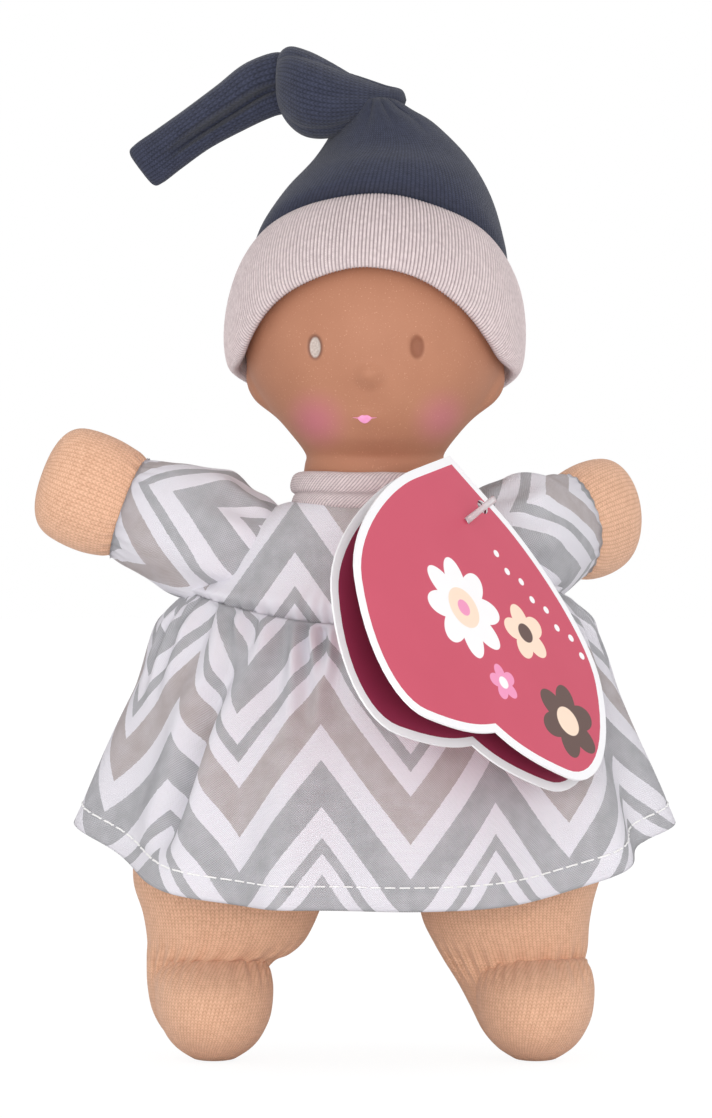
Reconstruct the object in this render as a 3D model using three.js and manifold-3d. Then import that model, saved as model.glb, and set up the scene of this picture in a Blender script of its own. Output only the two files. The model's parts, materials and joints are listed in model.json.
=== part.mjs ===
import * as THREE from "three";
import { mergeVertices } from "three/addons/utils/BufferGeometryUtils.js";
import Module from "manifold-3d";

// Fits and cloth thicknesses, in millimetres
const fit = 0.3;
const past = 0.05;
const cotton = 1.0;
const jersey = 1.2;
const rubberWall = 2.5;

// Heights, stacked from the sole up
const footHeight = 22;
const legLength = 40;
const seatHeight = 37;
const bodiceHeight = 26;
const collarHeight = 8;

// Feet and legs
const footWidth = 28.4;
const footLength = 36;
const soleWidth = 20;
const soleLength = 25;
const footSpacing = 73;
const ankleWidth = 27;
const ankleDepth = 22.4;
const thighWidth = 47;
const thighDepth = 33;
const thighSpacing = 61;

// Torso
const seatWidth = 103;
const seatDepth = 38;
const waistWidth = 83;
const waistDepth = 46;
const yokeWidth = 43;
const yokeDepth = 34;

// Skirt
const skirtPuff = 6.5;
const hemWidth = 135.5;
const hemDepth = 88;
const skirtLength = 62.5;
const hemSideRise = 19;
const foldCount = 11;
const foldHeight = 2.2;

// Arms
const shoulderRadius = 14.5;
const shoulderHeight = 0.6;
const sleeveLength = 27;
const wristWidth = 22.8;
const wristDepth = 19;
const handLength = 20.5;
const handWidth = 26.8;
const handDepth = 18.5;
const rightArm = { side: -1, lift: 20, back: 9, round: 6 };
const armDrop = 6;
const leftArm = { side: 1, lift: 9, back: 51, round: 26 };

// Neck, head and face
const neckRadius = 16.2;
const neckSink = 1.5;
const neckPlay = 0.5;
const neckFlange = 13.2;
const neckBore = 7.5;
const tieThread = 0.9;
const tieDrop = 11;
const headRadius = 29.6;
const headRise = 32.5;
const headTurn = -4.5;
const chinFullness = 3;
const eyeSpread = 11.7;
const eyeHeight = 29.4;
const noseHeight = 21.8;
const earHeight = 20.5;

// Hat
const cuffThick = 4;
const cuffBelow = 7.5;
const cuffAbove = 15.5;
const cuffArch = 8;
const archAngle = 62;
const archSpread = 31;
const napeLift = 9;
const hatTilt = 40;
const crownTop = 54;
const knotLength = 29;
const knotWidth = 21;
const tailRun = 27;
const tailFall = 20;
const tailWidth = 13.5;
const tailThick = 4;

// Card tag and its fastener
const card = 0.5;
const heartLength = 75;
const heartWidth = 79;
const heartNotch = 6;
const heartTip = 57;
const foldLength = 18;
const tagTurn = 50;
const tagLean = 24;
const foldSlope = 52.5;
const leafAjar = 6;
const holeAlong = 13;
const holeInset = 4;
const holeRadius = 1;
const threadLength = 12.6;
const threadRadius = 0.35;
const barLength = 8;
const barRadius = 0.6;

const wasm = await Module();
wasm.setup();
const rad = THREE.MathUtils.degToRad;

// A closed geometry as a solid that can be joined and cut
function solid(geometry) {
  geometry.deleteAttribute("normal");
  geometry.deleteAttribute("uv");
  const merged = mergeVertices(geometry, 1e-4);
  const index = merged.index.array;
  const triVerts = [];
  for (let i = 0; i < index.length; i += 3) {
    const [a, b, c] = [index[i], index[i + 1], index[i + 2]];
    if (a !== b && b !== c && a !== c) triVerts.push(a, b, c);
  }
  const data = { numProp: 3, vertProperties: merged.attributes.position.array };
  const made = new wasm.Manifold(new wasm.Mesh({ ...data, triVerts: new Uint32Array(triVerts) }));
  if (made.volume() > 0) return made;
  return new wasm.Manifold(new wasm.Mesh({ ...data, triVerts: new Uint32Array(triVerts.reverse()) }));
}

function piece(name, made, color, parent) {
  const data = made.getMesh();
  const geometry = new THREE.BufferGeometry();
  geometry.setAttribute("position", new THREE.BufferAttribute(data.vertProperties, 3));
  geometry.setIndex(new THREE.BufferAttribute(data.triVerts, 1));
  geometry.computeVertexNormals();
  const mesh = new THREE.Mesh(geometry, new THREE.MeshStandardMaterial({ color, roughness: 0.85 }));
  mesh.name = name;
  parent.add(mesh);
  return mesh;
}

// Moves every vertex of a geometry by a rule
function reshape(geometry, rule) {
  const position = geometry.attributes.position;
  const point = new THREE.Vector3();
  for (let i = 0; i < position.count; i++) {
    point.fromBufferAttribute(position, i);
    rule(point);
    position.setXYZ(i, point.x, point.y, point.z);
  }
  return geometry;
}

// A point on a loft through elliptical rings, at a share of its height and an angle from +X
function ringPoint(rings, share, angle, grow = 0) {
  const centres = new THREE.CatmullRomCurve3(rings.map((r) => new THREE.Vector3(...r.at)));
  const sizes = new THREE.CatmullRomCurve3(
    rings.map((r) => new THREE.Vector3(r.wide / 2, r.deep / 2, r.lean ?? 0)),
  );
  const centre = centres.getPoint(share);
  const size = sizes.getPoint(share);
  const across = (size.x + grow) * Math.cos(angle);
  const along = (size.y + grow) * Math.sin(angle);
  const lean = rad(size.z);
  return new THREE.Vector3(
    centre.x + across,
    centre.y + along * Math.cos(lean),
    centre.z - along * Math.sin(lean),
  );
}

// A closed loft: grow swells it, lower and upper move its ends, and an end may be rounded over a share
function loft(rings, options = {}) {
  const { grow = 0, lower = 0, upper = 0, roundLower = 0, roundUpper = 0 } = options;
  const { around = 28, along = 8 } = options;
  const bottom = rings[0].at[2];
  const top = rings[rings.length - 1].at[2];
  const spread = (s) => {
    if (roundLower && roundUpper) return (1 - Math.cos(Math.PI * s)) / 2;
    if (roundLower) return 1 - Math.cos((Math.PI * s) / 2);
    if (roundUpper) return Math.sin((Math.PI * s) / 2);
    return s;
  };
  const rounding = (share) => {
    const low = roundLower && share < roundLower ? (roundLower - share) / roundLower : 0;
    const high = roundUpper && share > 1 - roundUpper ? (share - 1 + roundUpper) / roundUpper : 0;
    return Math.sqrt(Math.max(0.0025, 1 - low * low)) * Math.sqrt(Math.max(0.0025, 1 - high * high));
  };
  const tube = new THREE.CylinderGeometry(1, 1, 1, around, along).rotateX(Math.PI / 2);
  return reshape(tube, (p) => {
    const share = spread(p.z + 0.5);
    const reach = Math.hypot(p.x, p.y) * rounding(share);
    const edge = ringPoint(rings, share, Math.atan2(p.y, p.x), grow);
    const middle = ringPoint(rings, share, 0, grow);
    middle.add(ringPoint(rings, share, Math.PI, grow)).multiplyScalar(0.5);
    p.lerpVectors(middle, edge, reach);
    const height = (p.z - bottom) / (top - bottom);
    p.z += THREE.MathUtils.lerp(lower, upper, THREE.MathUtils.clamp(height, 0, 1));
  });
}

// A turned form about +Z from a path of radius and height
function turned(path, around, divisions) {
  return new THREE.LatheGeometry(path.getPoints(divisions), around).rotateX(Math.PI / 2);
}

const ball = (radius, at, around = 26) =>
  solid(new THREE.SphereGeometry(radius, around, around / 2).rotateX(Math.PI / 2).translate(...at));
const block = (wide, deep, high, at) => solid(new THREE.BoxGeometry(wide, deep, high).translate(...at));

const tan = 0xdcac84;
const printed = 0xd9d7d6;
const ribbed = 0xcdbebe;
const navy = 0x3a3e54;
const rubber = 0xbc8469;
const filling = 0xf2efe6;
const pink = 0xcd556c;
const clear = 0xe8eaec;

const hipZ = footHeight + legLength;
const waistZ = hipZ + seatHeight;
const yokeZ = waistZ + bodiceHeight;
const collarTop = yokeZ + collarHeight;
const neckZ = collarTop - neckSink;

const doll = new THREE.Group();
doll.name = "cloth_doll";

// Torso rings: the bodice narrows from the waist to the yoke, the seat widens down to the hips
const bodiceRings = [
  { at: [0, 0, waistZ], wide: waistWidth, deep: waistDepth },
  { at: [0, 0, waistZ + bodiceHeight * 0.35], wide: waistWidth * 0.87, deep: waistDepth * 0.98 },
  { at: [0, 0, waistZ + bodiceHeight * 0.7], wide: waistWidth * 0.7, deep: waistDepth * 0.87 },
  { at: [0, 0, yokeZ], wide: yokeWidth, deep: yokeDepth },
];
const seatRings = [
  { at: [0, 0, hipZ - seatDepth / 2 - 1], wide: seatWidth * 0.93, deep: seatDepth },
  { at: [0, 0, hipZ], wide: seatWidth, deep: seatDepth },
  { at: [0, 0, hipZ + seatHeight * 0.5], wide: (seatWidth + waistWidth) / 2, deep: (seatDepth + waistDepth) / 2 },
  { at: [0, 0, waistZ - fit], wide: waistWidth, deep: waistDepth },
];

// The seat's underside is one round roll along the hip line, and the legs swing about its middle
function hipRoll(grow) {
  const length = seatWidth * 1.2;
  const roll = new THREE.CylinderGeometry(seatDepth / 2 + grow, seatDepth / 2 + grow, length, 32);
  return solid(roll.rotateZ(Math.PI / 2).translate(0, 0, hipZ));
}
function seatForm(grow, upper) {
  const above = block(2 * seatWidth, 2 * waistDepth, 2 * seatHeight, [0, 0, hipZ + seatHeight]);
  return solid(loft(seatRings, { grow, upper, around: 24, along: 4 })).intersect(hipRoll(grow).add(above));
}
const shoulders = [rightArm, leftArm].map((arm) => {
  const angle = arm.side > 0 ? rad(arm.round) : Math.PI - rad(arm.round);
  return ringPoint(bodiceRings, shoulderHeight, angle);
});

// A sleeve's form: part of a ball at the shoulder, then a taper that flattens towards the wrist
function armPath(grow, from) {
  const path = new THREE.Path();
  const angle = Math.asin(Math.max(-1, from / (shoulderRadius + grow)));
  path.absarc(0, 0, shoulderRadius + grow, angle, rad(12), false);
  path.bezierCurveTo(
    shoulderRadius * 1.02 + grow,
    sleeveLength * 0.42,
    wristWidth * 0.62 + grow,
    sleeveLength * 0.76,
    wristWidth / 2 + grow,
    sleeveLength,
  );
  return path;
}
const flatten = (geometry) =>
  reshape(geometry, (p) => {
    const share = THREE.MathUtils.clamp((p.z - shoulderRadius * 0.3) / (sleeveLength - shoulderRadius * 0.3), 0, 1);
    p.y *= THREE.MathUtils.lerp(1, wristDepth / wristWidth, share);
  });
function sleeveForm(grow, from, end, around) {
  const path = armPath(grow, from);
  path.lineTo(wristWidth / 2 + grow, sleeveLength + end);
  path.lineTo(0, sleeveLength + end);
  const points = path.getPoints(3);
  points.unshift(new THREE.Vector2(0, points[0].y));
  return flatten(new THREE.LatheGeometry(points, around).rotateX(Math.PI / 2));
}

// Where an arm stands, at rest or dropped by an angle about its shoulder
function armPose(arm, at, drop) {
  const rest = new THREE.Euler(0, arm.side * rad(90 - arm.lift), arm.side * rad(arm.back), "ZYX");
  const turn = new THREE.Quaternion().setFromAxisAngle(new THREE.Vector3(0, 1, 0), arm.side * rad(drop));
  turn.multiply(new THREE.Quaternion().setFromEuler(rest));
  return new THREE.Matrix4().compose(at, turn, new THREE.Vector3(1, 1, 1));
}
function armholes(grow, around) {
  const [right, left] = [rightArm, leftArm].map((arm, i) => {
    const sleeve = solid(sleeveForm(grow, 0, 0, around));
    const lowest = sleeve.transform(armPose(arm, shoulders[i], armDrop).toArray());
    return ball(shoulderRadius + grow, shoulders[i].toArray(), around).add(lowest);
  });
  return right.add(left);
}

// Bodice: a cloth shell open at the waist, the neck and both armholes
const bodiceInside = solid(loft(bodiceRings, { grow: -cotton, lower: -past, upper: past, around: 20, along: 3 }));
const fastenerAngle = rad(-57);
const fastenerShare = 0.78;
const tagFacing = new THREE.Vector3(
  Math.sin(rad(tagTurn)) * Math.cos(rad(tagLean)),
  -Math.cos(rad(tagTurn)) * Math.cos(rad(tagLean)),
  Math.sin(rad(tagLean)),
);
const fastenerFoot = ringPoint(bodiceRings, fastenerShare, fastenerAngle);
function alongThread(radius, from, to) {
  const rod = new THREE.CylinderGeometry(radius, radius, to - from, 16).translate(0, (from + to) / 2, 0);
  rod.applyQuaternion(new THREE.Quaternion().setFromUnitVectors(new THREE.Vector3(0, 1, 0), tagFacing));
  return solid(rod.translate(...fastenerFoot.toArray()));
}
const threadHole = alongThread(threadRadius + fit, -8, 4);
const bodice = solid(loft(bodiceRings, { around: 30, along: 4 }))
  .subtract(bodiceInside)
  .subtract(armholes(fit, 26))
  .subtract(threadHole);
piece("bodice", bodice, printed, doll);

// Seat: a knit bag, open at the waist where it is sewn to the bodice
piece("seat", seatForm(0, 0).subtract(seatForm(-jersey, past)), tan, doll);

// Torso stuffing: fills the bodice and the seat, hollowed for the neck, the shoulders and the fastener
const neckAt = [0, 0, neckZ];
const stuffedBodice = loft(bodiceRings, { grow: -cotton - fit, upper: -fit, around: 20, along: 3 });
const stuffing = solid(stuffedBodice)
  .add(seatForm(-jersey - fit, fit + past))
  .subtract(ball(neckRadius + tieThread + 3 * fit, neckAt, 16))
  .subtract(armholes(3 * fit, 16))
  .subtract(alongThread(threadRadius * 6 + fit, -6, 4));
piece("torso_stuffing", stuffing, filling, doll);

// Skirt: one cloth shell, gathered small at the waist, puffed below it, then flared to a waved hem
const skirtWide = new THREE.SplineCurve([
  new THREE.Vector2(0, waistWidth / 2 + fit),
  new THREE.Vector2(0.12, waistWidth / 2 + skirtPuff),
  new THREE.Vector2(0.5, (waistWidth * 0.5 + hemWidth * 0.5) / 2 + 2),
  new THREE.Vector2(1, hemWidth / 2),
]);
const skirtDeep = new THREE.SplineCurve([
  new THREE.Vector2(0, waistDepth / 2 + fit),
  new THREE.Vector2(0.12, waistDepth / 2 + skirtPuff * 0.8),
  new THREE.Vector2(0.5, (waistDepth * 0.5 + hemDepth * 0.5) / 2 + 1),
  new THREE.Vector2(1, hemDepth / 2),
]);
function skirtPoint(level, angle, outward) {
  const share = THREE.MathUtils.clamp(level, 0, 1);
  const fold = foldHeight * share * Math.cos(foldCount * angle + 0.6 * Math.sin(2 * angle));
  const wide = skirtWide.getPoint(share).y + fold + outward;
  const deep = skirtDeep.getPoint(share).y + fold + outward;
  const drop = skirtLength - hemSideRise * Math.cos(angle) ** 4;
  return new THREE.Vector3(
    wide * Math.cos(angle),
    deep * Math.sin(angle),
    waistZ - fit - drop * skirtWide.getPoint(share).x,
  );
}
const skirtSteps = [1, 0.75, 0.5, 0.3, 0.14, 0.05, 0];
const skirtLoop = [
  ...skirtSteps.map((s) => new THREE.Vector2(2, s)),
  ...skirtSteps.toReversed().map((s) => new THREE.Vector2(1, s)),
  new THREE.Vector2(2, 1),
];
const skirt = reshape(new THREE.LatheGeometry(skirtLoop, 66).rotateX(Math.PI / 2), (p) => {
  const outward = Math.hypot(p.x, p.y) > 1.5 ? cotton : 0;
  p.copy(skirtPoint(p.z, Math.atan2(p.y, p.x), outward));
});
piece("skirt", solid(skirt), printed, doll);

// Collar: a folded rib band whose bore is a socket for the neck ball, with a roll at its lower edge
const collarOuter = neckRadius + 2.4;
const collarPath = new THREE.Path();
collarPath.moveTo(neckRadius - 4, yokeZ + fit);
collarPath.lineTo(collarOuter - 0.5, yokeZ + fit);
collarPath.quadraticCurveTo(collarOuter + 0.8, yokeZ + collarHeight * 0.25, collarOuter - 0.2, yokeZ + collarHeight * 0.5);
collarPath.quadraticCurveTo(collarOuter + 0.6, yokeZ + collarHeight * 0.9, collarOuter - 0.8, collarTop);
collarPath.lineTo(neckRadius - 4, collarTop);
collarPath.lineTo(neckRadius - 4, yokeZ + fit);
piece("collar", solid(turned(collarPath, 28, 2)).subtract(ball(neckRadius + neckPlay, neckAt)), ribbed, doll);

// Neck: the tie thread sits in a groove round the neck ball and nods with the head
const neck = new THREE.Group();
neck.name = "neck";
neck.position.set(0, 0, neckZ);
doll.add(neck);
const tieRadius = Math.sqrt(neckRadius ** 2 - tieDrop ** 2);
const tieRing = (thread) => solid(new THREE.TorusGeometry(tieRadius, thread, 6, 22).translate(0, 0, -tieDrop));
piece("neck_tie", tieRing(tieThread), filling, neck);

// Head: one hollow turned form, neck ball to cranium, with the lower face filled out to the front
const head = new THREE.Group();
head.name = "head";
head.rotation.z = rad(headTurn);
neck.add(head);
function headForm(grow, around, divisions) {
  const path = new THREE.Path();
  const throat = rad(17);
  const temple = rad(-15);
  const flange = -Math.asin(neckFlange / neckRadius);
  const rim = [(neckRadius + grow) * Math.cos(flange), (neckRadius + grow) * Math.sin(flange)];
  path.moveTo(0, rim[1]);
  path.lineTo(...rim);
  path.absarc(0, 0, neckRadius + grow, flange, throat, false);
  path.bezierCurveTo(
    neckRadius * 0.957 + grow,
    headRise * 0.23,
    headRadius * 0.9 + grow,
    headRise * 0.52,
    (headRadius + grow) * Math.cos(temple),
    headRise + (headRadius + grow) * Math.sin(temple),
  );
  path.absarc(0, headRise, headRadius + grow, temple, Math.PI / 2, false);
  const form = turned(path, around, divisions);
  return reshape(form, (p) => {
    const front = Math.max(0, -p.y / Math.max(1, Math.hypot(p.x, p.y)));
    const level = (p.z - headRise * 0.36) / (headRise * 0.22);
    const above = THREE.MathUtils.smoothstep(p.z, neckRadius * 0.3, neckRadius * 0.55);
    p.y -= chinFullness * above * front * front * Math.exp(-level * level);
  });
}
const egg = (wide, deep, high, at, around = 12) =>
  solid(new THREE.SphereGeometry(1, around, around / 2).rotateX(Math.PI / 2).scale(wide, deep, high).translate(...at));
const faceAt = (x, z) => -Math.sqrt(headRadius ** 2 - x ** 2 - (z - headRise) ** 2);
const ears = (grow) =>
  egg(3.4 + grow, 2.6 + grow, 5 + grow, [-headRadius * 0.925, 1, earHeight]).add(
    egg(3.4 + grow, 2.6 + grow, 5 + grow, [headRadius * 0.925, 1, earHeight]),
  );
const eyes = [-eyeSpread, eyeSpread].map((x) => egg(1.7, 1, 3, [x, faceAt(x, eyeHeight), eyeHeight], 10));
const nose = egg(2.6, 2.2, 2.2, [0, faceAt(0, noseHeight) - 0.4, noseHeight]);
const boreCut = new THREE.CylinderGeometry(neckBore, neckBore, neckRadius * 0.75, 16).rotateX(Math.PI / 2);
const neckMouth = solid(boreCut.translate(0, 0, -neckFlange));
const headShell = solid(headForm(0, 32, 3))
  .add(nose)
  .add(ears(0))
  .subtract(eyes[0])
  .subtract(eyes[1])
  .subtract(tieRing(tieThread + fit))
  .subtract(solid(headForm(-rubberWall, 18, 2)))
  .subtract(neckMouth);
piece("head_shell", headShell, rubber, head);

// Hat cuff: a turned rib band, tilted back, that follows the cranium. Its lower edge arches over the
// face, comes down in front of the ears and climbs again at the nape.
const hat = new THREE.Group();
hat.name = "hat";
hat.position.z = headRise;
head.add(hat);
const cuffInner = headRadius + fit * 1.4;
const cuffOuter = cuffInner + cuffThick;
const low = -Math.asin(cuffBelow / cuffOuter);
const high = Math.asin(cuffAbove / cuffOuter);
const cuffPath = new THREE.Path();
cuffPath.absarc(0, 0, cuffOuter, low, high, false);
cuffPath.absarc(0, 0, cuffInner, high, low, true);
cuffPath.quadraticCurveTo(
  ((cuffInner + cuffOuter) / 2) * Math.cos(low - 0.07),
  ((cuffInner + cuffOuter) / 2) * Math.sin(low - 0.07),
  cuffOuter * Math.cos(low),
  cuffOuter * Math.sin(low),
);
function slideEdge(geometry) {
  const points = geometry.attributes.position;
  const spot = new THREE.Vector3();
  for (let i = 0; i < points.count; i++) {
    spot.fromBufferAttribute(points, i);
    const radius = spot.length();
    const round = Math.atan2(spot.x, -spot.y);
    const level = Math.asin(spot.z / radius);
    const arch = cuffArch * Math.exp(-(((Math.abs(round) - rad(archAngle)) / rad(archSpread)) ** 2));
    const lift = napeLift * THREE.MathUtils.smoothstep(-Math.cos(round), 0.1, 0.9);
    const share = THREE.MathUtils.clamp((high - level) / (high - low), 0, 1);
    const moved = level + (share * (lift - arch)) / cuffOuter;
    const reach = radius * Math.cos(moved);
    points.setXYZ(i, reach * Math.sin(round), -reach * Math.cos(round), radius * Math.sin(moved));
  }
  return geometry;
}
const tilted = (geometry) => geometry.rotateX(-rad(hatTilt));
const earRoom = ears(fit).translate([0, 0, -headRise]);
piece("hat_cuff", solid(tilted(slideEdge(turned(cuffPath, 32, 2)))).subtract(earRoom), ribbed, hat);

// Hat crown: a jersey dome from the tilted cuff up to the knot, leaning a little to the doll's left
const crownStart = (cuffAbove + fit * 2.5) / cuffOuter;
const crownRadius = cuffOuter * Math.sqrt(1 - crownStart ** 2);
const crownFoot = cuffOuter * crownStart;
const crownRings = [
  { at: [0, crownFoot * Math.sin(rad(hatTilt)), crownFoot * Math.cos(rad(hatTilt))], wide: 2 * crownRadius, lean: hatTilt },
  { at: [0.8, crownTop * 0.18, crownTop * 0.38], wide: crownRadius * 1.88, lean: hatTilt * 0.78 },
  { at: [2, crownTop * 0.185, crownTop * 0.565], wide: crownRadius * 1.6, lean: hatTilt * 0.55 },
  { at: [3.2, crownTop * 0.176, crownTop * 0.74], wide: crownRadius * 1.16, lean: hatTilt * 0.28 },
  { at: [3, crownTop * 0.148, crownTop * 0.89], wide: crownRadius * 0.72, lean: 0 },
  { at: [0, crownTop * 0.13, crownTop], wide: crownRadius * 0.44, lean: 0 },
].map((ring) => ({ ...ring, deep: ring.wide }));
const crownOutside = solid(loft(crownRings, { around: 28, along: 7 }));
const crownInside = solid(loft(crownRings, { grow: -jersey, lower: -3, upper: -2, around: 20, along: 5 }));
const mouthCut = new THREE.CylinderGeometry(2 * headRadius, 2 * headRadius, 2 * headRadius, 24).rotateX(Math.PI / 2);
const crownMouth = solid(tilted(mouthCut.translate(0, 0, crownFoot - headRadius)));
const crown = crownOutside.subtract(crownInside).subtract(crownMouth);

// Knot: the gathered top wrapped once round itself, wide at the end where the tail leaves it
const knotGroup = new THREE.Group();
knotGroup.name = "knot";
knotGroup.position.set(6, crownTop * 0.1, crownTop * 0.98);
knotGroup.rotation.y = -rad(84);
hat.add(knotGroup);
const knotRings = [
  { at: [0, 0, 0], wide: knotWidth * 0.36, deep: knotWidth * 0.4 },
  { at: [0.6, -2.5, knotLength * 0.28], wide: knotWidth * 0.54, deep: knotWidth * 0.6 },
  { at: [0.2, -3.5, knotLength * 0.6], wide: knotWidth * 0.84, deep: knotWidth * 0.74 },
  { at: [0.6, -2, knotLength * 0.85], wide: knotWidth, deep: knotWidth * 0.74 },
  { at: [1, 0, knotLength], wide: knotWidth * 0.84, deep: knotWidth * 0.6 },
];
const knotOptions = { roundLower: 0.2, roundUpper: 0.22, around: 24, along: 9 };
const tailRoot = tailWidth / 2;
const tailAt = [0, 0, knotLength + tailRoot * 0.55];
const tailBase = (grow) =>
  solid(new THREE.CylinderGeometry(tailRoot + grow, tailRoot + grow, tailThick * 1.3 + 2 * grow, 26));
const knot = solid(loft(knotRings, knotOptions)).subtract(tailBase(fit).translate(tailAt));
piece("hat_knot", knot, navy, knotGroup);
const knotRoom = solid(loft(knotRings, { ...knotOptions, grow: fit, lower: -fit, upper: fit }));
knotGroup.updateMatrix();
piece("hat_crown", crown.subtract(knotRoom.transform(knotGroup.matrix.toArray())), navy, hat);

// Tail: a flat tube of jersey that droops from a round root tucked into the knot's wide end
const tail = new THREE.Group();
tail.name = "tail";
tail.position.set(...tailAt);
knotGroup.add(tail);
const tailRings = [
  { at: [0, 0, 0], wide: tailWidth, deep: tailThick * 1.3 },
  { at: [-tailFall * 0.36, 0, tailRun * 0.33], wide: tailWidth * 1.05, deep: tailThick },
  { at: [-tailFall * 0.73, 0, tailRun * 0.67], wide: tailWidth * 0.95, deep: tailThick },
  { at: [-tailFall, 0, tailRun], wide: tailWidth * 0.72, deep: tailThick * 0.8 },
];
const tailTube = solid(loft(tailRings, { roundUpper: 0.12, around: 16, along: 8 })).add(tailBase(0));
piece("hat_tail", tailTube, navy, tail);

// Arms: a round shoulder in the armhole, a sleeve tapering to the wrist, and a mitten hand
const handRings = [
  { at: [0, 0, sleeveLength + fit], wide: wristWidth - 0.6, deep: wristDepth - 0.4 },
  { at: [0, 0, sleeveLength + handLength * 0.35], wide: handWidth, deep: handDepth },
  { at: [0.6, 0, sleeveLength + handLength * 0.7], wide: handWidth * 0.98, deep: handDepth * 0.95 },
  { at: [1, 0, sleeveLength + handLength], wide: handWidth * 0.8, deep: handDepth * 0.7 },
];
function buildArm(name, arm, at) {
  const group = new THREE.Group();
  group.name = name + "_arm";
  group.applyMatrix4(armPose(arm, at, 0));
  doll.add(group);
  const mouth = -shoulderRadius * 0.45;
  const sleeve = solid(sleeveForm(0, mouth, 0, 24)).subtract(solid(sleeveForm(-cotton, mouth - past, past, 18)));
  piece(name + "_sleeve", sleeve, printed, group);
  const side = handRings.map((ring) => ({ ...ring, at: [-arm.side * ring.at[0], ring.at[1], ring.at[2]] }));
  const hand = solid(loft(side, { roundUpper: 0.3, around: 22, along: 7 })).subtract(
    solid(loft(side, { grow: -jersey, lower: -past, upper: -jersey, roundUpper: 0.3, around: 14, along: 5 })),
  );
  piece(name + "_hand", hand, tan, group);
  const core = solid(sleeveForm(-cotton - fit, -shoulderRadius * 2, 0, 18)).add(
    solid(loft(side, { grow: -jersey - fit, lower: -fit - past, upper: -jersey - fit, roundUpper: 0.3, around: 14, along: 5 })),
  );
  piece(name + "_arm_stuffing", core, filling, group);
}
buildArm("right", rightArm, shoulders[0]);
buildArm("left", leftArm, shoulders[1]);

// Legs and feet: knit bags that swell from the ankle to the seat, and feet with a flat sole
function buildLeg(name, side) {
  const group = new THREE.Group();
  group.name = name + "_leg";
  group.position.set((side * thighSpacing) / 2, 0, hipZ);
  doll.add(group);
  const drift = (side * (footSpacing - thighSpacing)) / 2;
  const legRings = [
    { at: [drift * 0.85, 0, footHeight + fit - hipZ], wide: ankleWidth, deep: ankleDepth },
    { at: [drift * 0.7, 0, footHeight + legLength * 0.17 - hipZ], wide: ankleWidth * 1.36, deep: ankleDepth * 1.2 },
    { at: [drift * 0.4, 0, footHeight + legLength * 0.4 - hipZ], wide: thighWidth * 0.95, deep: thighDepth * 0.95 },
    { at: [drift * 0.1, 0, footHeight + legLength * 0.66 - hipZ], wide: thighWidth, deep: thighDepth },
    { at: [0, 0, footHeight + legLength * 0.88 - hipZ], wide: thighWidth * 0.98, deep: thighDepth },
  ];
  const hollow = (grow) => hipRoll(grow).translate([(-side * thighSpacing) / 2, 0, -hipZ]);
  const leg = solid(loft(legRings, { around: 24, along: 6 }))
    .subtract(solid(loft(legRings, { grow: -jersey, lower: -past, upper: past, around: 18, along: 5 })))
    .subtract(hollow(fit));
  piece(name + "_leg", leg, tan, group);
  const legCore = solid(loft(legRings, { grow: -jersey - fit, upper: past, around: 18, along: 5 }));
  piece(name + "_leg_stuffing", legCore.subtract(hollow(2 * fit)), filling, group);
  const floor = -hipZ;
  const footRings = [
    { at: [drift, -4, floor], wide: soleWidth, deep: soleLength },
    { at: [drift, -4.2, floor + footHeight * 0.16], wide: footWidth * 0.94, deep: footLength * 0.93 },
    { at: [drift, -4.4, floor + footHeight * 0.42], wide: footWidth, deep: footLength },
    { at: [drift, -3, floor + footHeight * 0.72], wide: footWidth * 0.98, deep: footLength * 0.88 },
    { at: [drift * 0.9, -0.6, floor + footHeight], wide: ankleWidth * 0.97, deep: ankleDepth },
  ];
  const foot = solid(loft(footRings, { around: 24, along: 6 })).subtract(
    solid(loft(footRings, { grow: -jersey, lower: jersey, upper: past, around: 18, along: 5 })),
  );
  piece(name + "_foot", foot, tan, group);
  const footCore = loft(footRings, { grow: -jersey - fit, lower: jersey + fit, around: 18, along: 5 });
  piece(name + "_foot_stuffing", solid(footCore), filling, group);
}
buildLeg("right", -1);
buildLeg("left", 1);

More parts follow.
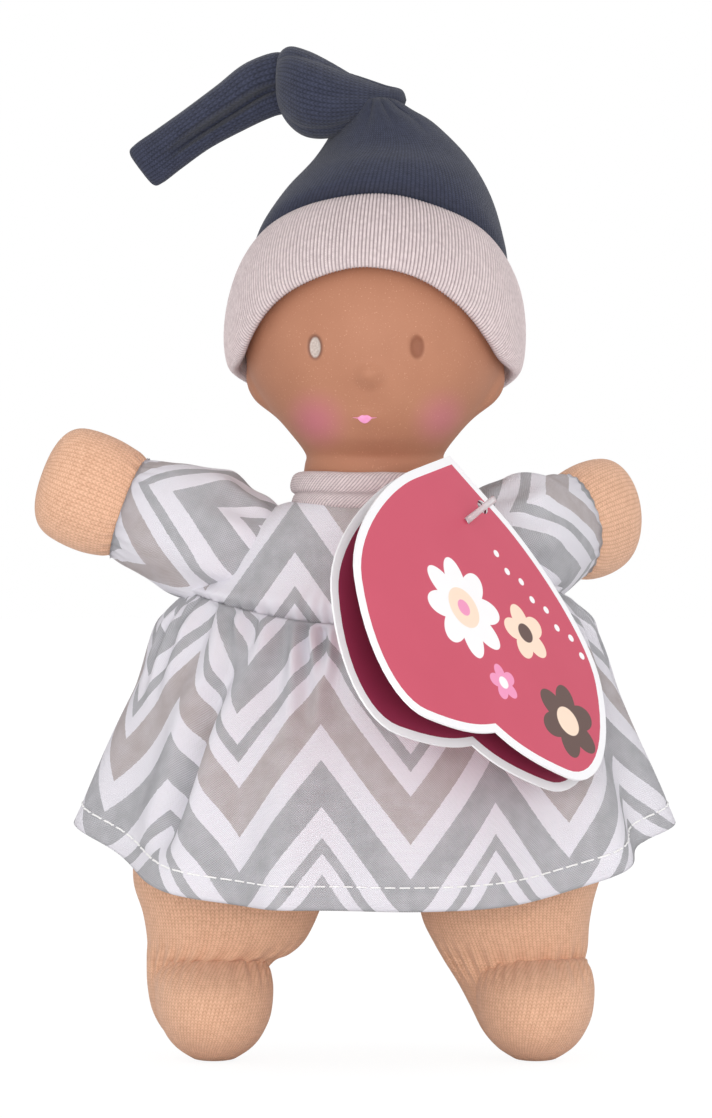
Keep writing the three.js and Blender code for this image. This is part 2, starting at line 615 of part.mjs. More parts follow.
// Tag: a heart card folded along the straight flank beside its point, hung on a nylon thread
const tag = new THREE.Group();
tag.name = "tag";
tag.position.copy(fastenerFoot).addScaledVector(tagFacing, threadLength);
tag.rotation.set(Math.PI / 2 - rad(tagLean), 0, rad(tagTurn), "ZYX");
doll.add(tag);
const cardFrame = new THREE.Group();
cardFrame.name = "card_frame";
cardFrame.rotation.z = -rad(foldSlope);
tag.add(cardFrame);
const axisAlong = new THREE.Vector2(Math.cos(rad(heartTip)), -Math.sin(rad(heartTip)));
const axisAcross = new THREE.Vector2(Math.sin(rad(heartTip)), Math.cos(rad(heartTip)));
const onCard = (along, across) => [
  axisAlong.x * along + axisAcross.x * across - holeAlong,
  axisAlong.y * along + axisAcross.y * across + holeInset,
];
function heartCard() {
  const half = heartWidth / 2;
  const widest = heartLength * 0.61;
  const lobe = half * 0.56;
  const flat = [foldLength * Math.cos(rad(heartTip)), foldLength * Math.sin(rad(heartTip))];
  const shape = new THREE.Shape();
  const curve = (a, b, c) => shape.bezierCurveTo(...onCard(...a), ...onCard(...b), ...onCard(...c));
  shape.moveTo(...onCard(0, 0));
  shape.lineTo(...onCard(...flat));
  curve([flat[0] * 1.7, flat[1] * 1.7], [widest * 0.72, half], [widest, half]);
  curve([heartLength * 0.85, half], [heartLength, half * 0.8], [heartLength, lobe]);
  curve([heartLength, lobe * 0.45], [heartLength - heartNotch * 0.5, lobe * 0.2], [heartLength - heartNotch, 0]);
  curve([heartLength - heartNotch * 0.5, -lobe * 0.2], [heartLength, -lobe * 0.45], [heartLength, -lobe]);
  curve([heartLength, -half * 0.8], [heartLength * 0.85, -half], [widest, -half]);
  curve([widest * 0.72, -half], [flat[0] * 1.7, -flat[1] * 1.7], [flat[0], -flat[1]]);
  const hole = new THREE.CylinderGeometry(holeRadius, holeRadius, 4 * card, 16).rotateX(Math.PI / 2);
  const heart = new THREE.ExtrudeGeometry(shape, { depth: card, bevelEnabled: false, curveSegments: 5 });
  return solid(heart).subtract(solid(hole));
}
piece("tag_back_leaf", heartCard().translate([0, 0, -card - fit / 2]), pink, cardFrame);
const leaf = new THREE.Group();
leaf.name = "leaf";
leaf.position.y = holeInset;
leaf.rotation.x = -rad(leafAjar);
cardFrame.add(leaf);
piece("tag_front_leaf", heartCard().translate([0, -holeInset, fit / 2]), pink, leaf);

// Fastener: a thread from a round stop behind the bodice cloth, and a cross bar in front of the card
const barZ = fit / 2 + card + fit + barRadius;
const bar = solid(new THREE.CylinderGeometry(barRadius, barRadius, barLength, 12).translate(0, -holeInset, barZ));
const stubLength = barZ - fit;
const stub = solid(
  new THREE.CylinderGeometry(threadRadius, threadRadius, stubLength, 12)
    .rotateX(Math.PI / 2)
    .translate(0, -holeInset, barZ - stubLength / 2),
);
piece("fastener_bar", bar.add(stub), clear, leaf);
const stopAt = cotton + 2.5;
const thread = solid(
  new THREE.CylinderGeometry(threadRadius, threadRadius, threadLength + stopAt, 12)
    .rotateX(Math.PI / 2)
    .translate(0, 0, -(threadLength + stopAt) / 2 - fit),
).add(
  solid(
    new THREE.CylinderGeometry(threadRadius * 5, threadRadius * 5, 0.8, 16)
      .rotateX(Math.PI / 2)
      .translate(0, 0, -threadLength - stopAt - fit),
  ),
);
piece("fastener_thread", thread, clear, tag);

// The footprint is centred and the soles stand on the floor
const size = new THREE.Box3().setFromObject(doll, true);
const middle = size.getCenter(new THREE.Vector3());
const root = new THREE.Group();
root.name = "cloth_doll_centred";
doll.position.set(-middle.x, -middle.y, -size.min.z);
root.add(doll);

export default root;
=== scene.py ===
# A cloth doll with a moulded rubber head, a knotted knit hat and a printed cotton dress.
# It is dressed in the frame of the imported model: metres, +Z up, the doll faces -Y.
import json
import math

import bpy
from mathutils import Matrix, Vector, noise


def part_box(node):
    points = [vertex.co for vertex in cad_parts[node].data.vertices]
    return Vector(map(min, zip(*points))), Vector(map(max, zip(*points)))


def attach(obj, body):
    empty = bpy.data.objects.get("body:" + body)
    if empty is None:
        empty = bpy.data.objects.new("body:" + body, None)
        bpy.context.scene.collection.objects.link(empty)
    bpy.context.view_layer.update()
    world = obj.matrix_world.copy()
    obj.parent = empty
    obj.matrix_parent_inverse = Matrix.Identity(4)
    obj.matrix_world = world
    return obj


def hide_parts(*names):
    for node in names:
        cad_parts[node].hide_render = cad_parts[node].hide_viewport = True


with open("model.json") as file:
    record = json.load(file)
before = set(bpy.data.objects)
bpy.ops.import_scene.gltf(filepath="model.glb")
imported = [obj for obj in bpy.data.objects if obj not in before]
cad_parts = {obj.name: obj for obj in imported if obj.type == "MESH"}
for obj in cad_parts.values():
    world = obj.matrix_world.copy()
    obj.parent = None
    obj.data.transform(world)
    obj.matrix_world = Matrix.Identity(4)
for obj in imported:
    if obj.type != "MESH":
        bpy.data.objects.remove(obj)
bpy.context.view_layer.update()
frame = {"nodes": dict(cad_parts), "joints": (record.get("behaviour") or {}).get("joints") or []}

# Studio: a plain white sweep under a soft box and an even sky, seen through a long lens
# from straight in front, as a catalogue picture is taken.
mm = 0.001
joints = {joint["name"]: joint for joint in frame["joints"]}
axis_x, axis_y, neck_height = joints["head_turn"]["pos_m"]


def at(x, y, z):
    """A point in millimetres from the doll's upright axis and the floor, in metres in the frame."""
    return Vector((axis_x + x * mm, axis_y + y * mm, z * mm))


scene = bpy.context.scene
scene.view_settings.view_transform = "Standard"


def node(tree, kind, inputs=None, output=0, **settings):
    """A shader node with its settings and inputs, as the socket that it gives."""
    made = tree.nodes.new("ShaderNode" + kind)
    for key, value in settings.items():
        setattr(made, key, value)
    for key, value in (inputs or {}).items():
        socket = made.inputs[key]
        if isinstance(value, bpy.types.NodeSocket):
            tree.links.new(value, socket)
        else:
            socket.default_value = value
    return made.outputs[output]


def math_node(tree, operation, *values):
    return node(tree, "Math", dict(enumerate(values)), operation=operation)


sky = bpy.data.worlds.new("studio_sky")
sky.use_nodes = True
scene.world = sky
sky_light = 0.8
seen = node(sky.node_tree, "LightPath")
light_path = sky.node_tree.nodes["Light Path"]
direct = math_node(sky.node_tree, "MAXIMUM", seen, light_path.outputs["Is Glossy Ray"])
direct = math_node(sky.node_tree, "MAXIMUM", direct, light_path.outputs["Is Transmission Ray"])
brightness = math_node(sky.node_tree, "MULTIPLY_ADD", direct, 1.0 - sky_light, sky_light)
backdrop = sky.node_tree.nodes["Background"]
backdrop.inputs["Color"].default_value = (1, 1, 1, 1)
sky.node_tree.links.new(brightness, backdrop.inputs["Strength"])

bpy.ops.object.select_all(action="DESELECT")
bpy.ops.mesh.primitive_plane_add(size=6, location=(0, 0, -0.2 * mm))
floor = bpy.context.active_object
floor.name = "floor"
sweep = bpy.data.materials.new("white_sweep")
sweep.use_nodes = True
tree = sweep.node_tree
paper = tree.nodes["Principled BSDF"]
paper.inputs["Base Color"].default_value = (0.92, 0.92, 0.92, 1)
paper.inputs["Roughness"].default_value = 0.9
paper_white, shadow_left = 1.07, 0.14
glow = node(tree, "Emission", {"Color": (1, 1, 1, 1), "Strength": paper_white})
rays = node(tree, "LightPath")
share = math_node(tree, "MULTIPLY", rays, 1 - shadow_left)
mixed = node(tree, "MixShader", {0: share, 1: paper.outputs[0], 2: glow})
tree.links.new(mixed, tree.nodes["Material Output"].inputs["Surface"])
floor.data.materials.append(sweep)


chest_height = 115


def soft_box(name, location, size, power):
    bpy.ops.object.light_add(type="AREA", location=location)
    lamp = bpy.context.active_object
    lamp.name = name
    lamp.data.size = size
    lamp.data.energy = power
    aim = at(0, 0, chest_height) - Vector(location)
    lamp.rotation_euler = aim.to_track_quat("-Z", "Y").to_euler()


soft_box("key_light", (-0.45, -1.2, 0.55), size=0.8, power=1.1)
soft_box("fill_light", (0.6, -1.1, 0.15), size=0.8, power=3.2)
soft_box("low_light", (-0.1, -1.0, 0.04), size=0.5, power=4.9)

view_height = 253.5
view_centre = at(-4.3, 0, 113.2)
distance = 1.9
elevation = math.radians(1.5)
sensor = 36
bpy.ops.object.camera_add()
camera = bpy.context.active_object
camera.name = "camera"
back_off = Vector((0, -math.cos(elevation), math.sin(elevation)))
camera.location = view_centre + distance * back_off
camera.rotation_euler = (-back_off).to_track_quat("-Z", "Y").to_euler()
camera.data.sensor_width = sensor
camera.data.lens = sensor * distance / (view_height * mm)
scene.camera = camera


# Head: one hollow shell of matte natural rubber, cast in a mould with the eyes sunk, the nose
# and ears raised, and the lips and cheeks painted on. Its neck ball is tied into the collar.
def smoothstep(low, high, value):
    share = min(max((value - low) / (high - low), 0.0), 1.0)
    return share * share * (3 - 2 * share)


def bell(x, z, wide, high):
    return math.exp(-((x / wide) ** 2) - (z / high) ** 2)


def arc(radius, height, start, end, count):
    turns = [math.radians(start + (end - start) * i / count) for i in range(count + 1)]
    return [(radius * math.cos(turn), height + radius * math.sin(turn)) for turn in turns]


def bezier(points, count):
    def blend(t, i):
        a, b, c, d = (point[i] for point in points)
        return (1 - t) ** 3 * a + 3 * (1 - t) ** 2 * t * b + 3 * (1 - t) * t * t * c + t**3 * d

    return [(blend(i / count, 0), blend(i / count, 1)) for i in range(count + 1)]


def walk(path):
    """A rule that gives the point at a share of a path's length."""
    lengths = [0.0]
    for a, b in zip(path, path[1:]):
        lengths.append(lengths[-1] + math.dist(a, b))

    def point(share):
        reach = min(max(share, 0.0), 1.0) * lengths[-1]
        i = next((i for i in range(1, len(lengths)) if lengths[i] >= reach), len(lengths) - 1)
        span = lengths[i] - lengths[i - 1] or 1.0
        t = (reach - lengths[i - 1]) / span
        return [p + (q - p) * t for p, q in zip(path[i - 1], path[i])]

    return point


def sheet_grid(name, columns, rows, place, flat, start=(0, 0), slant=0):
    """A grid of cloth laid by a rule of shares across and along it, with a UV map in flat millimetres."""
    bpy.ops.object.select_all(action="DESELECT")
    bpy.ops.mesh.primitive_grid_add(x_subdivisions=columns, y_subdivisions=rows, size=1)
    piece = bpy.context.active_object
    piece.name = name
    for vertex in piece.data.vertices:
        vertex.co = place(vertex.co.x + 0.5, vertex.co.y + 0.5)
    for loop in piece.data.uv_layers.active.data:
        u, v = loop.uv.x * flat[0], loop.uv.y * flat[1]
        loop.uv = (start[0] + u + slant * v, start[1] + v)
    bpy.ops.object.mode_set(mode="EDIT")
    bpy.ops.mesh.select_all(action="SELECT")
    bpy.ops.mesh.remove_doubles(threshold=1e-6)
    bpy.ops.mesh.normals_make_consistent(inside=False)
    bpy.ops.object.mode_set(mode="OBJECT")
    bpy.ops.object.shade_smooth()
    return piece


def dress(piece, material, slot, body, *nodes):
    """Gives a piece its finish and its place: the body it moves with and the solids it stands for."""
    if material:
        piece.data.materials.append(material)
    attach(piece, body)
    if nodes:
        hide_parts(*nodes)
    return piece


def apply_modifier(piece, kind, **settings):
    bpy.context.view_layer.objects.active = piece
    modifier = piece.modifiers.new(kind.lower(), kind)
    for key, value in settings.items():
        setattr(modifier, key, value)
    bpy.ops.object.modifier_apply(modifier=modifier.name)


neck_z = neck_height / mm
skull = 29.6
skull_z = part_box("head_shell")[1].z / mm - skull
neck = 16.2
rise = skull_z - neck_z
head_turned = Matrix.Rotation(math.radians(-4.5), 3, "Z")
eye_spread, eye_z = 11.4, 29.8
nose_x, nose_z, mouth_z, ear_z = 1.0, 23.4, 13.8, 19.2
cheek_x, cheek_z = (-11.9, 17.7), 12.7
chin_full, nose_full, ear_full, cheek_full = 2.2, 1.7, 3.0, 0.9
eye_wide, eye_high, eye_deep = 1.5, 2.6, 1.0
throat = arc(neck, 0, -50, 17, 12)
temple = arc(skull, rise, -15, 90, 60)
jaw = bezier([throat[-1], (neck * 0.957, rise * 0.23), (skull * 0.9, rise * 0.52), temple[0]], 24)
head_outline = walk([(0.0, throat[0][1])] + throat + jaw[1:] + temple[1:])


def on_head(point):
    """A point in millimetres from the neck's middle, facing -Y, turned as the head is."""
    turned = head_turned @ Vector(point)
    return at(turned.x, turned.y, neck_z + turned.z)


def head_point(across, along):
    radius, z = head_outline(along)
    angle = math.tau * across
    x, y = radius * math.sin(angle), radius * math.cos(angle)
    front = max(0.0, -y / max(1.0, radius))
    above = smoothstep(neck * 0.26, neck * 0.6, z)
    y -= chin_full * above * front * front * math.exp(-(((z - rise * 0.27) / (rise * 0.25)) ** 2))
    if y < 0:
        eye = math.hypot((abs(x) - eye_spread) / eye_wide, (z - eye_z) / eye_high)
        y += eye_deep * (1 - smoothstep(0.72, 1.12, eye)) - 0.14 * math.exp(-(((eye - 1.28) / 0.2) ** 2))
        nose = math.hypot((x - nose_x) / 3.2, (z - nose_z) / 2.9)
        y -= nose_full * (1 - smoothstep(0.1, 1.3, nose))
        y -= 0.7 * bell(x, z - mouth_z, 3.4, 2.0)
        y -= cheek_full * bell(abs(x) - 13, z - mouth_z, 7, 6)
    aside = smoothstep(18, 25, abs(x))
    ear = bell(y - 1, z - ear_z, 2.9, 4.6) * aside
    fold = bell(y - 0.4, z - ear_z - 0.6, 1.2, 2.2) * aside
    x += math.copysign(ear_full * ear - 1.1 * fold, x)
    return on_head((x, y, z))


def oval(tree, centre, radii, soft):
    """1 inside an egg about a point of the surface, falling to 0 over a soft edge."""
    place = node(tree, "TexCoord", output=3)
    shift = node(tree, "VectorMath", {0: place, 1: tuple(-c for c in centre)}, operation="ADD")
    scale = tuple(1 / (r * mm) for r in radii)
    shape = node(tree, "VectorMath", {0: shift, 1: scale}, operation="MULTIPLY")
    reach = node(tree, "VectorMath", {0: shape}, output=1, operation="LENGTH")
    edges = {"Value": reach, "From Min": 1 - soft, "From Max": 1 + soft, "To Min": 1.0, "To Max": 0.0}
    return node(tree, "MapRange", edges, interpolation_type="SMOOTHSTEP")


def mix(tree, share, a, b):
    """Colour a turning to colour b by a share."""
    made = tree.nodes.new("ShaderNodeMix")
    made.data_type = "RGBA"
    for socket, value in ((made.inputs[0], share), (made.inputs[6], a), (made.inputs[7], b)):
        if isinstance(value, bpy.types.NodeSocket):
            tree.links.new(value, socket)
        else:
            socket.default_value = value
    return made.outputs[2]


def paint(red, green, blue):
    """A colour given as screen values from 0 to 255."""
    def linear(value):
        value /= 255
        return value / 12.92 if value <= 0.04045 else ((value + 0.055) / 1.055) ** 2.4

    return (linear(red), linear(green), linear(blue), 1.0)


def finish(name, roughness, sheen=0.0, specular=0.5):
    """A material with its shader's even values set, its tree and its shader."""
    material = bpy.data.materials.new(name)
    material.use_nodes = True
    shader = material.node_tree.nodes["Principled BSDF"]
    shader.inputs["Roughness"].default_value = roughness
    shader.inputs["Specular IOR Level"].default_value = specular
    shader.inputs["Sheen Weight"].default_value = sheen
    return material, material.node_tree, shader


def rubber_finish():
    material, tree, shader = finish("natural_rubber", 0.62, specular=0.32)
    place = node(tree, "TexCoord", output=3)
    blotches = node(tree, "TexNoise", {"Vector": place, "Scale": 55.0, "Detail": 3.0})
    colour = mix(tree, blotches, paint(166, 112, 86), paint(188, 132, 104))
    dust = node(tree, "TexNoise", {"Vector": place, "Scale": 2400.0, "Detail": 1.0})
    specks = node(tree, "MapRange", {"Value": dust, "From Min": 0.66, "From Max": 0.76})
    colour = mix(tree, math_node(tree, "MULTIPLY", specks, 0.35), colour, paint(226, 178, 150))
    for x in cheek_x:
        cheek = oval(tree, on_head((x, -23.5, cheek_z)), (4.8, 13, 4.8), 0.95)
        colour = mix(tree, math_node(tree, "MULTIPLY", cheek, 0.5), colour, paint(202, 104, 142))
    eye_y = -26.2
    rim = oval(tree, on_head((-eye_spread, eye_y, eye_z)), (1.75, 5, 2.85), 0.2)
    colour = mix(tree, math_node(tree, "MULTIPLY", rim, 0.75), colour, paint(112, 76, 64))
    # A pale oval fills the eye at -eye_spread inside its dark rim: a painted glint in that sunk eye,
    # flecked with the dust tone; the other eye is plain brown paint.
    white = oval(tree, on_head((-eye_spread, eye_y, eye_z - 0.1)), (1.2, 5, 2.25), 0.16)
    pale_print_and_glint = mix(tree, dust, paint(170, 152, 142), paint(222, 212, 205))
    colour = mix(tree, white, colour, pale_print_and_glint)
    brown = oval(tree, on_head((eye_spread, eye_y, eye_z)), (1.6, 5, 2.6), 0.25)
    colour = mix(tree, math_node(tree, "MULTIPLY", brown, 0.8), colour, paint(140, 88, 66))
    tree.links.new(colour, shader.inputs["Base Color"])
    bump = node(tree, "Bump", {"Height": dust, "Strength": 0.25, "Distance": 0.1 * mm})
    tree.links.new(bump, shader.inputs["Normal"])
    return material


head = sheet_grid("head", 264, 170, head_point, (186, 130))
dress(head, rubber_finish(), "rubber", "head", "head_shell")

lip_half, lip_rows = 2.7, 14


def lip_point(across, along):
    x = lip_half * (2 * across - 1)
    inner = max(0.0, 1 - (abs(x) / 1.55) ** 2)
    upper = 0.26 * (1 - abs(x) / lip_half) + 0.62 * inner - 0.22 * bell(x, 0, 0.4, 1)
    lower = -0.12 * (1 - abs(x) / lip_half) - 0.95 * inner
    lift = 0.22 * (abs(x) / lip_half) ** 2
    return on_head((x + 0.6, -skull - 8, mouth_z + lift + lower + (upper - lower) * along))


lips = sheet_grid("lips", 28, lip_rows, lip_point, (4.4, 1.8))
apply_modifier(lips, "SHRINKWRAP", target=head, wrap_method="PROJECT", use_project_y=True,
               use_negative_direction=False, use_positive_direction=True, offset=0.05 * mm)
apply_modifier(lips, "SOLIDIFY", thickness=0.2 * mm, offset=0)
lip_paint, tree, shader = finish("lip_paint", 0.5)
place = node(tree, "TexCoord", output=3)
grain = node(tree, "TexNoise", {"Vector": place, "Scale": 1500.0})
tree.links.new(mix(tree, grain, paint(240, 150, 200), paint(250, 172, 212)), shader.inputs["Base Color"])
dress(lips, lip_paint, "rubber", "head")


# Hat cuff: a band of lilac-grey rib knit, turned up double round the head and tilted back, so
# that it arches over the forehead and comes down behind the ears.
def spline(points, share):
    """A smooth curve through points, at a share from the first to the last."""
    spans = len(points) - 1
    reach = min(max(share, 0.0), 1.0) * spans
    i = min(int(reach), spans - 1)
    t = reach - i
    a, b, c, d = (points[min(max(j, 0), spans)] for j in range(i - 1, i + 3))
    return [
        0.5 * (2 * q + (r - p) * t + (2 * p - 5 * q + 4 * r - s) * t * t + (3 * q - p - 3 * r + s) * t**3)
        for p, q, r, s in zip(a, b, c, d)
    ]


def knit_height(tree, wale, course, groove, wander):
    """Columns of V stitches on a UV map in millimetres: the yarn's height, and a tone for each stitch."""
    place = node(tree, "TexCoord", output=3)
    drift = node(tree, "TexNoise", {"Vector": place, "Scale": 150.0, "Detail": 2.0}, output=1)
    reach = (wander * wale, wander * wale, 0.0)
    flat = node(tree, "VectorMath", {0: drift, 1: reach, 2: node(tree, "UVMap")}, operation="MULTIPLY_ADD")
    parts = node(tree, "SeparateXYZ", {0: flat})
    columns = math_node(tree, "DIVIDE", parts, wale)
    aside = math_node(tree, "ABSOLUTE", math_node(tree, "SUBTRACT", math_node(tree, "FRACT", columns), 0.5))
    rows = math_node(tree, "DIVIDE", parts.node.outputs[1], course)
    rows = math_node(tree, "MULTIPLY_ADD", aside, 1.4, rows)
    stitch = math_node(tree, "SINE", math_node(tree, "MULTIPLY", rows, math.tau))
    gap = math_node(tree, "POWER", math_node(tree, "MULTIPLY", aside, 2.0), 3.0)
    ridge = math_node(tree, "MULTIPLY_ADD", stitch, 0.3, 0.7)
    height = math_node(tree, "MULTIPLY", ridge, math_node(tree, "MULTIPLY_ADD", gap, -groove, 1.0))
    cell = {0: math_node(tree, "FLOOR", columns), 1: math_node(tree, "FLOOR", rows)}
    tone = node(tree, "TexWhiteNoise", {"Vector": node(tree, "CombineXYZ", cell)})
    return height, tone


def waver(angle, size, height):
    """Slow unevenness round a tube of cloth, from about -1 to 1."""
    return noise.noise(Vector((size * math.cos(angle), size * math.sin(angle), height)))


def knit_finish(name, dark, light, wale, course, depth, groove, wander):
    material, tree, shader = finish(name, 0.92, sheen=0.15, specular=0.2)
    shader.inputs["Sheen Roughness"].default_value = 0.6
    height, tone = knit_height(tree, wale, course, groove, wander)
    place = node(tree, "TexCoord", output=3)
    yarn = node(tree, "TexNoise", {"Vector": place, "Scale": 120.0, "Detail": 4.0})
    fluff = node(tree, "TexNoise", {"Vector": place, "Scale": 1500.0, "Detail": 2.0})
    # The colour follows the yarn's height: painted shade in the gaps between wales and stitch rows, over a
    # tone for each stitch and the yarn's own unevenness.
    shade = math_node(tree, "MULTIPLY", height, 0.7)
    for share, layer in ((0.2, tone), (0.15, yarn), (0.25, fluff)):
        shade = math_node(tree, "MULTIPLY_ADD", layer, share, shade)
    tree.links.new(mix(tree, shade, dark, light), shader.inputs["Base Color"])
    bump = node(tree, "Bump", {"Height": shade, "Strength": 0.7, "Distance": depth * mm})
    tree.links.new(bump, shader.inputs["Normal"])
    return material


rib_wale = 0.86


def rib_finish():
    material, tree, shader = finish("lilac_rib_knit", 0.92, sheen=0.15, specular=0.2)
    parts = node(tree, "SeparateXYZ", {0: node(tree, "UVMap")})
    turn = math_node(tree, "MULTIPLY", parts, math.pi / rib_wale)
    # The colour darkens in the grooves between the ribs: painted shade, over the yarn's own tone.
    ridge = math_node(tree, "POWER", math_node(tree, "ABSOLUTE", math_node(tree, "SINE", turn)), 0.6)
    place = node(tree, "TexCoord", output=3)
    yarn = node(tree, "TexNoise", {"Vector": place, "Scale": 900.0, "Detail": 3.0})
    height, tone = knit_height(tree, rib_wale, 0.7, 0.8, 0.15)
    shade = math_node(tree, "MULTIPLY_ADD", yarn, 0.5, math_node(tree, "MULTIPLY_ADD", tone, 0.16, 0.6))
    shade = math_node(tree, "MULTIPLY", ridge, shade)
    lilac = mix(tree, shade, paint(140, 122, 126), paint(228, 213, 213))
    tree.links.new(lilac, shader.inputs["Base Color"])
    bump = node(tree, "Bump", {"Height": height, "Strength": 0.7, "Distance": 0.12 * mm})
    tree.links.new(bump, shader.inputs["Normal"])
    return material


rib_knit = rib_finish()
hat_tilt = math.radians(40)
hat_leaned = Matrix.Rotation(-hat_tilt, 3, "X")
cuff_section = [
    (29.3, 14.6), (30.0, 15.6), (30.9, 15.3), (32.7, 10.6), (33.9, 4.0), (34.1, -2.0),
    (33.4, -6.4), (32.0, -8.1), (30.7, -7.4), (30.2, -3.5), (30.1, 4.0),
]
cuff_wales, cuff_ridge = 246, 0.45
side_drop, brow_lift, nape_lift = 4.7, 1.3, 9.0
cuff_top, cuff_foot = math.atan2(15, 30), math.atan2(-8, 32)


def rib(turn, depth):
    """Rounded ridges with a narrow groove between them."""
    return depth * (math.sqrt(abs(math.sin(math.pi * turn))) - 0.75)


def cuff_point(across, along):
    radius, height = spline(cuff_section, along)
    angle = math.tau * across
    waved = 0.35 * waver(angle, 2.2, 3 * along)
    radius += rib(across * cuff_wales, cuff_ridge) * (1 - smoothstep(0.75, 0.85, along)) + waved
    reach, level = math.hypot(radius, height), math.atan2(height, radius)
    arch = side_drop * bell(abs(angle - math.pi) - 1.2, 0, 0.62, 1)
    arch -= brow_lift * bell(angle - math.pi, 0, 0.7, 1)
    lift = nape_lift * smoothstep(-0.3, 0.8, math.cos(angle))
    share = min(max((cuff_top - level) / (cuff_top - cuff_foot), 0.0), 1.0)
    level += (waved + share * (lift - arch)) / reach
    radius = reach * math.cos(level)
    height = reach * math.sin(level)
    leaned = hat_leaned @ Vector((radius * math.sin(angle), radius * math.cos(angle), height))
    return on_head((leaned.x, leaned.y, leaned.z + rise))


cuff = sheet_grid("hat_cuff_rib", cuff_wales * 5, 30, cuff_point, (cuff_wales * rib_wale, 48))
dress(cuff, rib_knit, "rib_knit", "head", "hat_cuff")


# Hat crown: a tube of navy single jersey sewn to the cuff, drawn in towards the knot at its top.
navy_jersey = knit_finish("navy_jersey", paint(8, 10, 20), paint(59, 63, 83),
                          wale=0.85, course=0.66, depth=0.18, groove=0.95, wander=0.5)
crown_rings = [
    (0.0, 9.4, 11.4, 30.0, 40.0), (0.0, 10.5, 12.9, 29.9, 39.0), (0.8, 9.7, 20.5, 28.2, 31.0),
    (2.0, 10.0, 30.5, 23.9, 22.0), (3.2, 9.5, 40.0, 17.4, 11.0), (2.4, 7.2, 47.6, 11.2, 4.0),
    (1.2, 4.6, 51.2, 6.8, 0.0), (0.6, 3.2, 53.4, 3.6, 0.0), (0.5, 3.0, 54.0, 0.0, 0.0),
]


def crown_point(across, along):
    x, y, z, radius, lean = spline(crown_rings, along)
    angle = math.tau * across
    drawn = smoothstep(0.5, 0.85, along)
    fold = abs(math.cos(4.5 * angle + 0.9 * math.sin(2 * angle) + 1.5 * along))
    radius *= 1 + 0.2 * drawn * (math.sqrt(fold) - 0.75)
    radius += 0.7 * (1 - drawn) * waver(angle, 1.6, 4 * along + 3)
    deep = radius * math.cos(angle)
    lean = math.radians(lean)
    height = z - deep * math.sin(lean) + rise
    return on_head((x + radius * math.sin(angle), y + deep * math.cos(lean), height))


crown = sheet_grid("hat_crown_jersey", 160, 90, crown_point, (150, 62))
dress(crown, navy_jersey, "navy_jersey", "head", "hat_crown")


# Knot: the gathered top of the crown tied once over itself. Its band fans out from a narrow fold
# at the doll's left to a broad roll where the tail comes out.
knot_rings = [
    (6.5, 9.0, 53.4, 0.0, 0.0), (5.4, 8.8, 53.6, 2.2, 3.0), (1.5, 7.4, 53.3, 3.6, 5.0),
    (-4.5, 4.6, 53.0, 6.2, 7.0), (-10.5, 3.0, 53.4, 8.6, 8.6), (-16.0, 3.0, 54.8, 9.6, 8.6),
    (-20.0, 3.8, 56.6, 8.6, 7.0), (-22.4, 4.6, 57.6, 5.4, 4.4), (-23.0, 5.0, 57.6, 0.0, 0.0),
]


def knot_point(across, along):
    x, y, z, high, deep = spline(knot_rings, along)
    angle = math.tau * across
    wrap = math.cos(angle - 0.9 - 1.8 * along)
    crease = 1 - 0.2 * math.exp(-((wrap - 1) / 0.03) ** 2) * smoothstep(0.1, 0.3, along)
    ripple = 1 + 0.09 * (abs(math.cos(3 * angle + 2.5 * along)) ** 0.6 - 0.7) * smoothstep(0.0, 0.4, along)
    reach = crease * ripple
    return on_head((x, y - deep * reach * math.cos(angle), z + high * reach * math.sin(angle) + rise))


knot = sheet_grid("hat_knot_jersey", 110, 70, knot_point, (44, 32))
dress(knot, navy_jersey, "navy_jersey", "head", "hat_knot")


# Tail: the tube's flat end, about 36 mm long, which droops from the knot and ends in a cut edge.
tail_rings = [
    (-19.0, 7.0, 58.0, 0.0, 0.0), (-19.6, 7.1, 57.9, 6.4, 3.2), (-26.4, 7.5, 56.0, 6.9, 3.6),
    (-33.4, 7.6, 51.8, 6.0, 3.3), (-41.0, 7.5, 47.0, 5.3, 3.0), (-47.5, 7.3, 42.4, 5.3, 2.7),
    (-52.2, 7.2, 39.0, 5.4, 2.3), (-53.9, 7.2, 37.7, 4.4, 1.6), (-54.1, 7.2, 37.5, 0.0, 0.0),
]


def band(start, full, late, end, value):
    """1 from full to late, fading to 0 at start and at end."""
    return smoothstep(start, full, value) * (1 - smoothstep(late, end, value))


def tail_point(across, along):
    x, y, z, high, deep = spline(tail_rings, along)
    middle = min(max(along, 0.2), 0.8)
    ahead, behind = spline(tail_rings, middle + 0.05), spline(tail_rings, middle - 0.05)
    slope = math.atan2(ahead[2] - behind[2], behind[0] - ahead[0])
    angle = math.tau * across
    rise_across = high * math.sin(angle)
    fold = band(0.1, 0.3, 0.45, 0.75, along)
    dip = 4.0 * bell(rise_across + 1.2, 0, 1.0, 1) - 1.4 * smoothstep(-0.4, 1.2, rise_across)
    thick = deep * math.cos(angle) - fold * dip * smoothstep(-0.2, 0.6, math.cos(angle))
    return on_head((x + rise_across * math.sin(slope), y - thick, z + rise_across * math.cos(slope) + rise))


tail = sheet_grid("hat_tail_jersey", 120, 70, tail_point, (28, 40))
dress(tail, navy_jersey, "navy_jersey", "tail", "hat_tail")


# Collar: a strip of the same rib knit folded double round the neck, with a crease where the fold
# rolls over its own seam. It hides the thread that ties the neck into the body.
collar_low, collar_high = (corner.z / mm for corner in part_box("collar"))
collar_section = [
    (15.5, collar_low - 1.0), (18.1, collar_low - 0.4), (19.0, collar_low + 1.0), (18.6, collar_low + 2.4),
    (18.3, collar_low + 2.9), (19.1, collar_low + 3.6), (19.3, collar_low + 5.2), (18.6, collar_high - 0.6),
    (17.4, collar_high), (16.6, collar_high - 0.6), (16.2, collar_high - 3.0),
]
collar_wales, collar_slant, collar_cut, collar_ridge = 138, 0.8, 20, 0.3


def around(angle, wide, deep, z, x=0.0, y=0.0):
    """A point of an oval ring about the doll's axis, or about a place beside it."""
    return at(x + wide * math.sin(angle), y + deep * math.cos(angle), z)


